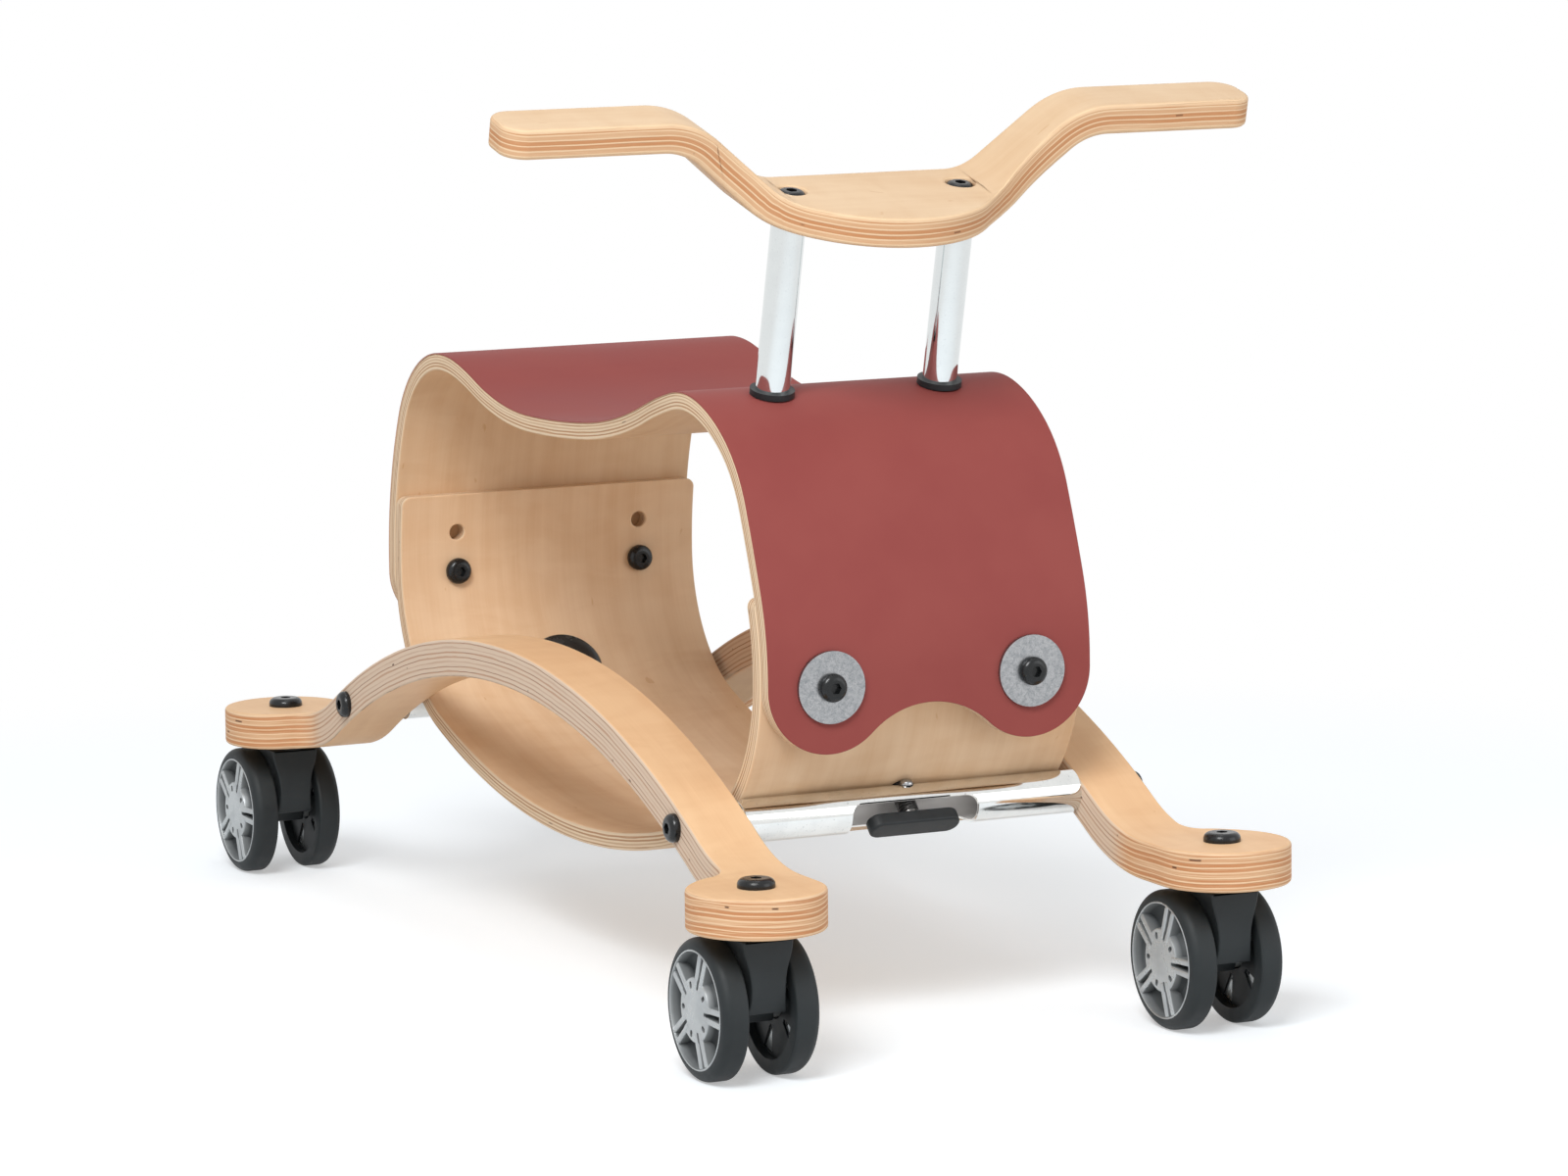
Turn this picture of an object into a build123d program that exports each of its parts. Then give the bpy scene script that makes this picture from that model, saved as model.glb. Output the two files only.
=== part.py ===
from build123d import *

import os
from itertools import pairwise
from math import cos, radians, sin, sqrt

# A child's ride-on toy on four twin-wheel casters.  A bent plywood seat shell and a bent
# plywood bowl make one hollow body.  The body lies between two cross tubes that tie two
# bent plywood side arches, and a wide plywood handlebar stands on two steel posts.
#
# Frame: millimetres, +Z up, floor at Z = 0, the face of the toy looks towards -Y, and +X
# is the rider's left.  The origin is on the floor under the middle of the overall length.
# Local side coordinates (y, z) are measured from the middle of the wheelbase, mid_y.

os.makedirs("parts", exist_ok=True)

# ---------------------------------------------------------------- seat shell and bowl
body_width = 172.0
body_length = 482.0            # outside of the front face to outside of the back
shell_ply = 8.2
laminate_sheet = 0.8
bowl_ply = 9.0
wall_height = 177.0            # the front and back walls are straight up to here
seat_y = 45.7                  # lowest point of the saddle
seat_height = 276.3
saddle_slope_y = -100.0        # where the saddle runs down from the front hump
saddle_slope_rise = 19.3       # above the seat
saddle_slope = 19.4
back_slope_y = 117.0           # where the saddle runs up to the rear hump
back_slope_rise = 11.9
back_slope = 19.0
rear_hump_y = 162.5
rear_hump_rise = 20.9          # above the seat
post_foot_y = -161.6           # where the handlebar posts stand on the front hump
post_foot_rise = 27.6          # above the seat
post_tilt = 14.0
cheek_in = 22.6                # cheek of the face, inside the front wall
cheek_drop = 46.0              # and below the feet of the posts
cheek_lean = 23.0
bolt_height = 172.3            # row of bolts that joins the shell to the bowl
bolt_x = 53.5
row_pitch = 21.0               # spare row of holes above it
crest_height = 161.0           # top of the wave between the two lobes of each wall
bowl_top = 214.3
bowl_bend_height = 175.8       # axis of the bowl's lower bends
bowl_bend_radius = 77.0        # inside
bowl_floor_height = 73.0       # top of the bowl's floor at its middle
upstand_corner = 5.0
spare_hole_lead = 2.0          # countersink at the outer end of the spare holes

# ---------------------------------------------------------------- cross tubes and arches
clamp_angle = 44.0             # clamp screws, from the vertical
tube_diameter = 21.3
tube_wall = 1.5
tube_seat_gap = 0.2            # tube to bowl
slot_width = 68.0
slot_depth_offset = 2.6        # slot face beyond the tube's axis
slot_corner = 6.0
body_side_gap = 4.0            # body to arch
arch_ply = 19.4
arch_radius = 488.0            # middle of the ply
arch_foot_radius = 106.5       # middle of the ply
pad_level = 20.7               # level part of a pad, from its bend to the stem of the caster
arch_strip = 33.0
pad_radius = 33.2
pad_blend = 12.0
edge_ease = 0.8

# ---------------------------------------------------------------- casters
pad_height = 73.3              # floor to the underside of the pads
wheel_diameter = 68.0
caster_trail = 16.0
wheel_gap = 24.0               # between the two tyres of a caster
tyre_width = 13.0
tyre_depth = 5.4
tyre_shoulder = 4.0
tyre_inner_edge = 1.6
rim_lip = 2.0
rim_plate = 3.0
rim_proud = 0.7
rim_spokes = 5
spoke_slot = 6.0               # length of the slot in each spoke, between its round ends
spoke_slot_width = 1.8
spoke_slot_inset = 6.6         # middle of the slot, inside the lip
window_root = 3.2              # width of the window between two spokes, at the hub
window_top = 14.8              # and at the lip
window_margin = 1.0
hub_radius = 11.0
hub_boss = 7.0
fork_width = 21.4
fork_tip_width = 16.0
fork_tip_height = 24.6
fork_crown_radius = 14.0
fork_crown = 5.4
fork_side_in = 1.0             # front and back of the fork inside the edge of its crown
fork_front_drop = 28.0         # front of the fork is upright down to here, below the pad
fork_heel = 6.0                # sole of the fork beyond the axle
fork_back = 12.0               # widest point of the fork beyond the axle
fork_back_rise = 6.0           # and above it
fork_shoulder = 4.0            # back of the fork leaves the crown below this
axle_diameter = 8.0
stem_diameter = 11.0
stem_drop = 28.0
stem_rise = 9.0
swivel_gap = 0.3               # fork crown to pad

# ---------------------------------------------------------------- handlebar and posts
bar_ply = 15.0
bar_half_length = 199.0
bar_rise = 38.8
bar_slope = 40.0
bar_foot_x = 55.6              # corner of the plateau, before its bend is rounded
bar_foot_radius = 26.4
bar_grip_radius = 44.8
bar_grip_front = 10.0
bar_back = 22.3
bar_front = 51.0
bar_bulge_radius = 62.0
bar_neck_radius = 60.0
bar_end_radius = 12.0
post_diameter = 17.0
post_wall = 1.5
post_x = 45.2
post_length = 88.6
collar_diameter = 22.0
collar_height = 3.0
plug_length = 20.0

# ---------------------------------------------------------------- fasteners and clearances
head_diameter = 14.0
head_height = 4.4
bolt_end_gap = 2.0             # bolt ends stay inside their plugs and nuts
socket_size = 5.0
socket_depth = 2.4
bolt_shank = 8.0
connector_shank = 6.0
barrel_diameter = 8.0
barrel_head = 17.0
barrel_flange = 1.5
washer_diameter = 35.0
washer_thickness = 2.0
foot_washer_diameter = 20.0
foot_washer_drop = 1.3         # below the shell, whose underside is curved there
cap_diameter = 18.0
cap_height = 4.5
insert_flange = 38.0
insert_flange_thickness = 3.0
insert_barrel = 20.0
insert_depth = 6.0             # how deep the barrel sits in the bowl's ply
insert_recess = 19.0
recess_depth = 4.5
stud_diameter = 10.0
stud_pitch = 1.5
knob_length = 48.0
knob_width = 12.0
knob_thickness = 7.0
knob_standoff = 6.2            # wing above the tube's axis
neck_diameter = 12.5
neck_height = 4.6
rivet_diameter = 6.6
rivet_height = 2.4
rivet_pin = 3.3
running_clearance = 0.05       # radial, between a shaft and its bore
hole_clearance = 0.2           # radial, round a bolt
face_gap = 0.1                 # between faces that must not touch

# ---------------------------------------------------------------- worked out
half_length = body_length / 2
half_width = body_width / 2
shell_total = shell_ply + laminate_sheet
wall_total = shell_total + bowl_ply
wheel_radius = wheel_diameter / 2
mid_y = -(caster_trail + wheel_radius - pad_radius) / 2
rear_hump_height = seat_height + rear_hump_rise
post_foot_z = seat_height + post_foot_rise
lobe_radius = half_width - bolt_x
bend_y = half_length - wall_total - bowl_bend_radius
bend_outer = bowl_bend_radius + bowl_ply
tube_radius = tube_diameter / 2
tube_reach = bend_outer + tube_seat_gap + tube_radius
tube_y = bend_y + tube_reach * sin(radians(clamp_angle))
tube_z = bowl_bend_height - tube_reach * cos(radians(clamp_angle))
arch_inner_x = half_width + body_side_gap
arch_outer_x = arch_inner_x + arch_strip
caster_x = arch_inner_x + pad_radius
arch_centre_z = tube_z - sqrt(arch_radius**2 - tube_y**2)
pad_mid = pad_height + arch_ply / 2
pad_top = pad_height + arch_ply
foot_axis_z = pad_mid + arch_foot_radius
foot_axis_y = sqrt((arch_radius + arch_foot_radius) ** 2 - (foot_axis_z - arch_centre_z) ** 2)
caster_y = foot_axis_y + pad_level
pad_end_y = caster_y + pad_radius
post_axis = Vector(0, -sin(radians(post_tilt)), cos(radians(post_tilt)))
post_gap = tube_seat_gap
through = 2 * body_length      # for cuts that go right through


def side(x=0.0):
    """A plane across the toy at x, drawn in (y, z)."""
    return Plane(origin=(x, mid_y, 0), x_dir=(0, 1, 0), z_dir=(1, 0, 0))


def upright(y=0.0, facing=-1):
    """A plane along the toy's width at y, drawn in (x, z), whose normal faces -Y or +Y."""
    return Plane(origin=(0, mid_y + y, 0), x_dir=(-facing, 0, 0), z_dir=(0, facing, 0))


def level(x, y, z, up=1):
    """A horizontal plane at a place measured from the middle of the wheelbase."""
    return Plane(origin=(x, mid_y + y, z), x_dir=(1, 0, 0), z_dir=(0, 0, up))


def across(x, y, z, facing):
    """A plane whose normal faces -X or +X at a place on the toy's side."""
    return Plane(origin=(x, mid_y + y, z), x_dir=(0, 1, 0), z_dir=(facing, 0, 0))


def save(part, name):
    """Label a finished piece and write its STEP file."""
    part.label = name
    export_step(part, f"parts/{name}.step")


# ---------------------------------------------------------------- profile of the body
# The outside line of the seat shell runs from the foot of the face over both humps and
# down to the foot of the back.  Between its straight walls it is a chain of arcs through
# these stations, each with its direction in degrees above the horizontal.
stations = [
    (-half_length, wall_height, 90.0),
    (-half_length + cheek_in, post_foot_z - cheek_drop, 90.0 - cheek_lean),
    (post_foot_y, post_foot_z, post_tilt),
    (saddle_slope_y, seat_height + saddle_slope_rise, -saddle_slope),
    (seat_y, seat_height, 0.0),
    (back_slope_y, seat_height + back_slope_rise, back_slope),
    (rear_hump_y, rear_hump_height, 0.0),
    (half_length, wall_height, -90.0),
]


def arc_pair(start, start_way, end, end_way):
    """Draw the two arcs that join two points smoothly and leave each in its direction."""
    span = end - start
    both_ways = span.dot(start_way + end_way)
    spread = 2 * (1 - start_way.dot(end_way)) * span.dot(span)
    reach = span.dot(span) / (both_ways + sqrt(both_ways**2 + spread))
    meeting = (start + end + (start_way - end_way) * reach) / 2
    first = TangentArc(start, meeting, tangent=start_way)
    return first, TangentArc(meeting, end, tangent=first % 1)


outside_arcs = []
with BuildLine():
    for (y0, z0, turn0), (y1, z1, turn1) in pairwise(stations):
        start_way = Vector(1, 0).rotate(Axis.Z, turn0)
        end_way = Vector(1, 0).rotate(Axis.Z, turn1)
        outside_arcs += arc_pair(Vector(y0, z0), start_way, Vector(y1, z1), end_way)


def contour(depth):
    """Draw the line that lies at a depth inside the outside line, from foot to foot."""
    Line((-half_length + depth, 0), (-half_length + depth, wall_height))
    for arc in outside_arcs:
        inset = [arc @ mark + (arc % mark).rotate(Axis.Z, -90) * depth for mark in (0, 0.5, 1)]
        ThreePointArc(*inset)
    Line((half_length - depth, wall_height), (half_length - depth, 0))


def skin(outer, inner):
    """The strip between two depths inside the outside line."""
    with BuildSketch() as strip:
        with BuildLine():
            contour(outer)
            contour(inner)
            Line((-half_length + outer, 0), (-half_length + inner, 0))
            Line((half_length - outer, 0), (half_length - inner, 0))
        make_face()
    return strip.sketch


# Front view of the shell: two lobes round the bolts with a wave between them.
crest_rise = bolt_height - crest_height
crest_radius = (bolt_x**2 + crest_rise**2 - lobe_radius**2) / (2 * (lobe_radius - crest_rise))
lobe_share = lobe_radius / (lobe_radius + crest_radius)
touch_x = bolt_x * (1 - lobe_share)
touch_z = bolt_height - (crest_rise + crest_radius) * lobe_share
with BuildSketch(upright(0)) as wave:
    with BuildLine():
        Line((half_width, through), (half_width, bolt_height))
        ThreePointArc((half_width, bolt_height), (bolt_x, bolt_height - lobe_radius), (touch_x, touch_z))
        ThreePointArc((touch_x, touch_z), (0, crest_height), (-touch_x, touch_z))
        ThreePointArc((-touch_x, touch_z), (-bolt_x, bolt_height - lobe_radius), (-half_width, bolt_height))
        Polyline((-half_width, bolt_height), (-half_width, through), (half_width, through))
    make_face()


def post_plane(x, along=0.0):
    """A plane square to the posts, at a distance along them from their feet."""
    foot_point = Vector(x, mid_y + post_foot_y, post_foot_z)
    return Plane(origin=foot_point + post_axis * along, x_dir=(1, 0, 0), z_dir=post_axis)


with BuildPart() as seat_shell:
    with BuildSketch(side()):
        add(skin(laminate_sheet, shell_total))
    extrude(amount=half_width, both=True)
    extrude(wave.sketch, amount=half_length * 2, both=True, mode=Mode.INTERSECT)
    with Locations(*[upright(0).location * Location((x, bolt_height, 0)) for x in (-bolt_x, bolt_x)]):
        Cylinder(barrel_diameter / 2 + hole_clearance, through, mode=Mode.SUBTRACT)
    with Locations(*[post_plane(x).location for x in (-post_x, post_x)]):
        Cylinder(bolt_shank / 2 + hole_clearance, 4 * shell_total, mode=Mode.SUBTRACT)
save(seat_shell.part, "seat_shell")

with BuildPart() as seat_laminate:
    with BuildSketch(side()):
        add(skin(0.0, laminate_sheet))
    extrude(amount=half_width, both=True)
    extrude(wave.sketch, amount=half_length * 2, both=True, mode=Mode.INTERSECT)
    with Locations(*[upright(0).location * Location((x, bolt_height, 0)) for x in (-bolt_x, bolt_x)]):
        Cylinder(barrel_diameter / 2 + hole_clearance, through, mode=Mode.SUBTRACT)
    with Locations(*[post_plane(x).location for x in (-post_x, post_x)]):
        Cylinder(bolt_shank / 2 + hole_clearance, 4 * shell_total, mode=Mode.SUBTRACT)
save(seat_laminate.part, "seat_laminate")

# ---------------------------------------------------------------- bowl
# The floor of the bowl is one large arc that runs into both bends.
bend_drop = bowl_bend_height - bowl_floor_height
floor_radius = (bend_y**2 + bend_drop**2 - bowl_bend_radius**2) / (2 * (bend_drop - bowl_bend_radius))
floor_centre = bowl_floor_height + floor_radius
bend_foot_share = floor_radius / (floor_radius - bowl_bend_radius)


def bowl_line(depth):
    """Points of the bowl's line at a depth below its inside: wall, bend and floor."""
    bend_radius = bowl_bend_radius + depth
    reach = floor_radius + depth
    foot_y = bend_y * bend_foot_share * reach / floor_radius
    foot_z = floor_centre - sqrt(reach**2 - foot_y**2)
    half_turn = Vector(foot_y - bend_y, foot_z - bowl_bend_height).normalized() + Vector(1, 0)
    middle = Vector(bend_y, bowl_bend_height) + half_turn.normalized() * bend_radius
    return (bend_y + bend_radius, foot_y, foot_z, middle.X, middle.Y, bowl_floor_height - depth)


def bowl_arcs(depth):
    """Draw the bowl's line at a depth, from the front wall to the back wall."""
    wall, foot_y, foot_z, mid_bend_y, mid_bend_z, lowest = bowl_line(depth)
    ThreePointArc((-wall, bowl_bend_height), (-mid_bend_y, mid_bend_z), (-foot_y, foot_z))
    ThreePointArc((-foot_y, foot_z), (0, lowest), (foot_y, foot_z))
    ThreePointArc((foot_y, foot_z), (mid_bend_y, mid_bend_z), (wall, bowl_bend_height))


with BuildSketch() as bowl_curve:
    with BuildLine():
        bowl_arcs(0.0)
        bowl_arcs(bowl_ply)
        Line((-bend_y - bowl_bend_radius, bowl_bend_height), (-bend_y - bend_outer, bowl_bend_height))
        Line((bend_y + bowl_bend_radius, bowl_bend_height), (bend_y + bend_outer, bowl_bend_height))
    make_face()

with BuildSketch() as upstands:
    add(skin(shell_total, wall_total))
    with Locations((0, bowl_top)):
        Rectangle(body_length, 2 * (bowl_top - bowl_bend_height), mode=Mode.INTERSECT)


def clamp_plane(end, along):
    """A plane square to the clamp screw of one end, at a distance from the bend's axis."""
    axis = Vector(0, end * sin(radians(clamp_angle)), -cos(radians(clamp_angle)))
    centre = Vector(0, mid_y + end * bend_y, bowl_bend_height)
    return Plane(origin=centre + axis * along, x_dir=(1, 0, 0), z_dir=axis)


ends = {"front": -1, "rear": 1}

with BuildPart() as bowl:
    with BuildSketch(side()):
        add(bowl_curve.sketch)
        add(upstands.sketch)
    extrude(amount=body_width, both=True)
    with BuildSketch(upright(0)):
        with Locations((0, bowl_top / 2)):
            RectangleRounded(body_width, bowl_top, upstand_corner)
    extrude(amount=half_length * 2, both=True, mode=Mode.INTERSECT)
    rows = [(x, z) for x in (-bolt_x, bolt_x) for z in (bolt_height, bolt_height + row_pitch)]
    with Locations(*[upright(0).location * Location((x, z, 0)) for x, z in rows]):
        Cylinder(barrel_diameter / 2 + hole_clearance, through, mode=Mode.SUBTRACT)
    for end in ends.values():
        for x in (-bolt_x, bolt_x):
            outer_face = upright(end * (half_length - shell_total), end)
            mouth = outer_face.from_local_coords((-end * x, bolt_height + row_pitch, 0))
            spare_radius = barrel_diameter / 2 + hole_clearance
            with BuildSketch(Plane(origin=mouth, x_dir=(1, 0, 0), z_dir=(0, end, 0))):
                Circle(spare_radius + spare_hole_lead)
            extrude(amount=-spare_hole_lead, taper=45, mode=Mode.SUBTRACT)
        with BuildSketch(clamp_plane(end, bowl_bend_radius)):
            Circle(insert_flange / 2 + hole_clearance)
        extrude(amount=-bowl_ply, mode=Mode.SUBTRACT)
        with BuildSketch(clamp_plane(end, bowl_bend_radius)):
            Circle(insert_barrel / 2 + hole_clearance)
        extrude(amount=insert_depth + face_gap, mode=Mode.SUBTRACT)
        with BuildSketch(clamp_plane(end, bowl_bend_radius)):
            Circle(stud_diameter / 2 + hole_clearance)
        extrude(amount=2 * bowl_ply, mode=Mode.SUBTRACT)
save(bowl.part, "bowl_shell")

# ---------------------------------------------------------------- side arches
def arch_arcs(depth):
    """Draw the arch's line at a depth below the middle of its ply, pad end to pad end."""
    foot_share = (arch_radius - depth) / (arch_radius + arch_foot_radius)
    join_y = foot_axis_y * foot_share
    join_z = arch_centre_z + (foot_axis_z - arch_centre_z) * foot_share
    flat_z = pad_mid - depth
    half_turn = Vector(join_y - foot_axis_y, join_z - foot_axis_z).normalized() + Vector(0, -1)
    middle = Vector(foot_axis_y, foot_axis_z) + half_turn.normalized() * (arch_foot_radius + depth)
    top_z = arch_centre_z + arch_radius - depth
    Line((-pad_end_y, flat_z), (-foot_axis_y, flat_z))
    ThreePointArc((-foot_axis_y, flat_z), (-middle.X, middle.Y), (-join_y, join_z))
    ThreePointArc((-join_y, join_z), (0, top_z), (join_y, join_z))
    ThreePointArc((join_y, join_z), (middle.X, middle.Y), (foot_axis_y, flat_z))
    Line((foot_axis_y, flat_z), (pad_end_y, flat_z))


with BuildSketch() as arch_profile:
    with BuildLine():
        arch_arcs(-arch_ply / 2)
        arch_arcs(arch_ply / 2)
        Line((-pad_end_y, pad_height), (-pad_end_y, pad_top))
        Line((pad_end_y, pad_height), (pad_end_y, pad_top))
    make_face()


def arch(hand):
    """One side arch with its pads; hand is -1 or +1 along X."""
    strip_x = hand * (arch_inner_x + arch_strip / 2)
    with BuildPart() as piece:
        with BuildSketch(side(hand * (caster_x + pad_radius))):
            add(arch_profile.sketch)
        extrude(amount=-hand * 2 * pad_radius)
        with BuildSketch(level(0, 0, 0)) as plan:
            with Locations((strip_x, 0)):
                Rectangle(arch_strip, 2 * caster_y)
            with Locations((hand * caster_x, -caster_y), (hand * caster_x, caster_y)):
                Circle(pad_radius)
            waists = plan.vertices().filter_by(lambda v: abs(v.X) > arch_outer_x - edge_ease)
            waists = waists.filter_by(lambda v: abs(v.Y - mid_y) < caster_y - pad_radius / 2)
            fillet(waists, radius=pad_blend)
        extrude(amount=through, mode=Mode.INTERSECT)
        for y in (-caster_y, caster_y):
            with Locations(level(hand * caster_x, y, pad_height)):
                Cylinder(bolt_shank / 2 + hole_clearance, 4 * arch_ply, mode=Mode.SUBTRACT)
                Cylinder(stem_diameter / 2 + running_clearance, 2 * stem_rise, mode=Mode.SUBTRACT)
        for y in (-tube_y, tube_y):
            with Locations(across(hand * arch_outer_x, y, tube_z, hand)):
                Cylinder(bolt_shank / 2 + hole_clearance, 3 * arch_strip, mode=Mode.SUBTRACT)
    return piece.part


hands = {"left": 1, "right": -1}
for name, hand in hands.items():
    save(arch(hand), f"arch_{name}")

# ---------------------------------------------------------------- cross tubes
tube_inner = tube_radius - tube_wall
for name, end in ends.items():
    with BuildPart() as tube:
        with BuildSketch(across(-arch_inner_x, end * tube_y, tube_z, 1)):
            Circle(tube_radius)
            Circle(tube_inner, mode=Mode.SUBTRACT)
        extrude(amount=2 * arch_inner_x)
        # The slot that lets the wing of the clamp screw turn.
        slot_plane = clamp_plane(end, tube_reach + slot_depth_offset)
        with BuildSketch(Plane(origin=slot_plane.origin, x_dir=(1, 0, 0), z_dir=slot_plane.y_dir)):
            with Locations((0, -tube_diameter / 2)):
                RectangleRounded(slot_width, tube_diameter, slot_corner)
        extrude(amount=tube_diameter, both=True, mode=Mode.SUBTRACT)
        with Locations(clamp_plane(end, tube_reach - tube_radius)):
            Cylinder(stud_diameter / 2 + hole_clearance, tube_diameter, mode=Mode.SUBTRACT)
        with Locations(level(0, end * tube_y, tube_z + tube_radius)):
            Cylinder(rivet_pin / 2, 2 * tube_wall + rivet_height, mode=Mode.SUBTRACT)
    save(tube.part, f"cross_tube_{name}")

with BuildPart() as tube_plugs:
    for hand in hands.values():
        for y in (-tube_y, tube_y):
            with BuildSketch(across(hand * (arch_inner_x - face_gap), y, tube_z, -hand)):
                Circle(tube_inner - running_clearance)
                Circle(bolt_shank / 2 + running_clearance, mode=Mode.SUBTRACT)
            extrude(amount=plug_length)
save(tube_plugs.part, "tube_end_plugs")


def button_bolt(plane, shank, length, diameter=head_diameter, height=head_height):
    """A round-headed socket bolt whose head stands on the plane and whose shank goes down."""
    with BuildPart() as bolt:
        with BuildSketch(plane):
            Circle(diameter / 2)
        extrude(amount=height)
        rim = bolt.edges().filter_by(GeomType.CIRCLE).sort_by(lambda e: plane.to_local_coords(e).center().Z)
        fillet(rim[-1], radius=height * 0.7)
        with BuildSketch(plane):
            Circle(shank / 2)
        extrude(amount=-length)
        with BuildSketch(plane.offset(height)):
            RegularPolygon(socket_size / 2, 6, major_radius=False)
        extrude(amount=-socket_depth, mode=Mode.SUBTRACT)
    return bolt.part


def group(parts, name):
    """Save alike pieces as separate solids of one node."""
    save(Compound(children=list(parts)), name)


arch_bolt_length = arch_strip + plug_length - bolt_end_gap
arch_bolts = []
for hand in hands.values():
    for y in (-tube_y, tube_y):
        seat = across(hand * arch_outer_x, y, tube_z, hand)
        arch_bolts.append(button_bolt(seat, bolt_shank, arch_bolt_length))
group(arch_bolts, "arch_bolts")

with BuildPart() as tube_rivets:
    for end in ends.values():
        top = level(0, end * tube_y, tube_z + tube_radius)
        with BuildSketch(top):
            Circle(rivet_diameter / 2)
        extrude(amount=rivet_height)
        domes = tube_rivets.edges().filter_by(GeomType.CIRCLE).group_by(Axis.Z)[-1]
        fillet(domes.sort_by(Axis.Y)[0 if end < 0 else -1], radius=rivet_height * 0.8)
        with BuildSketch(top):
            Circle(rivet_pin / 2 - running_clearance)
        extrude(amount=-tube_wall)
save(tube_rivets.part, "tube_rivets")

# ---------------------------------------------------------------- clamp screws
stud_start = bowl_bend_radius + recess_depth - insert_flange_thickness + face_gap
wing_start = tube_reach + knob_standoff
for name, end in ends.items():
    with BuildPart() as insert:
        with BuildSketch(clamp_plane(end, bowl_bend_radius - insert_flange_thickness)):
            Circle(insert_flange / 2)
        extrude(amount=insert_flange_thickness)
        with BuildSketch(clamp_plane(end, bowl_bend_radius)):
            Circle(insert_barrel / 2)
        extrude(amount=insert_depth)
        with BuildSketch(clamp_plane(end, bowl_bend_radius - insert_flange_thickness)):
            Circle(insert_recess / 2)
        extrude(amount=recess_depth, mode=Mode.SUBTRACT)
        with Locations(clamp_plane(end, bowl_bend_radius)):
            Cylinder(stud_diameter / 2 + running_clearance, 4 * bowl_ply, mode=Mode.SUBTRACT)
    save(insert.part, f"clamp_insert_{name}")

    with BuildPart() as knob:
        with BuildSketch(clamp_plane(end, wing_start)):
            SlotOverall(knob_length, knob_width)
        extrude(amount=knob_thickness)
        rims = knob.edges().group_by(lambda e: round(clamp_plane(end, 0).to_local_coords(e).center().Z, 1))
        fillet(rims[0] + rims[-1], radius=edge_ease)
    save(knob.part, f"clamp_knob_{name}")

    with BuildPart() as stud:
        with BuildSketch(clamp_plane(end, stud_start)):
            Circle(stud_diameter / 2)
        extrude(amount=wing_start - stud_start)
    save(stud.part, f"clamp_stud_{name}")

    with BuildPart() as neck:
        with BuildSketch(clamp_plane(end, wing_start - face_gap)):
            Circle(neck_diameter / 2)
            Circle(stud_diameter / 2 + running_clearance, mode=Mode.SUBTRACT)
        extrude(amount=-neck_height)
    save(neck.part, f"clamp_collar_{name}")

# ---------------------------------------------------------------- bolts that join the shell
def stand_off(radius):
    """How far a flat head on the inside keeps off the wall, where the bend bulges under it."""
    reach = max(bowl_bend_height - bolt_height + radius, 0)
    return bowl_bend_radius - sqrt(bowl_bend_radius**2 - reach**2) + face_gap


front_bolts = []
back_bolts = []
front_nuts = []
back_nuts = []
bolt_grip = wall_total + washer_thickness
head_seat_y = half_length - wall_total - stand_off(head_diameter / 2)
nut_seat_y = half_length - wall_total - stand_off(barrel_head / 2)
for x in (-bolt_x, bolt_x):
    face = upright(-half_length - washer_thickness, -1)
    spot = Plane(face.from_local_coords((x, bolt_height, 0)), x_dir=face.x_dir, z_dir=face.z_dir)
    front_bolts.append(button_bolt(spot, connector_shank, bolt_grip - bolt_end_gap))
    inner = Plane((x, mid_y + head_seat_y, bolt_height), x_dir=(1, 0, 0), z_dir=(0, -1, 0))
    back_bolts.append(button_bolt(inner, connector_shank, wall_total - bolt_end_gap))


def barrel_nut(plane, length):
    """A sleeve nut with a thin flat head on the plane and a barrel that goes down."""
    with BuildPart() as nut:
        with BuildSketch(plane):
            Circle(barrel_head / 2)
        extrude(amount=barrel_flange)
        rims = nut.edges().sort_by(lambda e: plane.to_local_coords(e).center().Z)
        fillet(rims[-1], radius=barrel_flange / 2)
        with BuildSketch(plane):
            Circle(barrel_diameter / 2)
        extrude(amount=-length)
        with BuildSketch(plane.offset(-length)):
            Circle(connector_shank / 2 + running_clearance)
        extrude(amount=length, mode=Mode.SUBTRACT)
        with BuildSketch(plane.offset(barrel_flange)):
            RegularPolygon(socket_size / 2, 6, major_radius=False)
        extrude(amount=-barrel_flange, mode=Mode.SUBTRACT)
    return nut.part


for x in (-bolt_x, bolt_x):
    inner = Plane((x, mid_y - nut_seat_y, bolt_height), x_dir=(1, 0, 0), z_dir=(0, 1, 0))
    front_nuts.append(barrel_nut(inner, wall_total))
    outer = Plane((x, mid_y + half_length, bolt_height), x_dir=(1, 0, 0), z_dir=(0, 1, 0))
    back_nuts.append(barrel_nut(outer, wall_total - face_gap))
group(front_bolts, "face_bolts")
group(back_bolts, "back_bolts")
group(front_nuts, "face_barrel_nuts")
group(back_nuts, "back_barrel_nuts")

with BuildPart() as face_washers:
    for x in (-bolt_x, bolt_x):
        face = upright(-half_length, -1)
        with BuildSketch(Plane(face.from_local_coords((x, bolt_height, 0)), x_dir=(1, 0, 0), z_dir=(0, -1, 0))):
            Circle(washer_diameter / 2)
            Circle(barrel_diameter / 2 + hole_clearance, mode=Mode.SUBTRACT)
        extrude(amount=washer_thickness)
save(face_washers.part, "face_washers")

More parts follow.
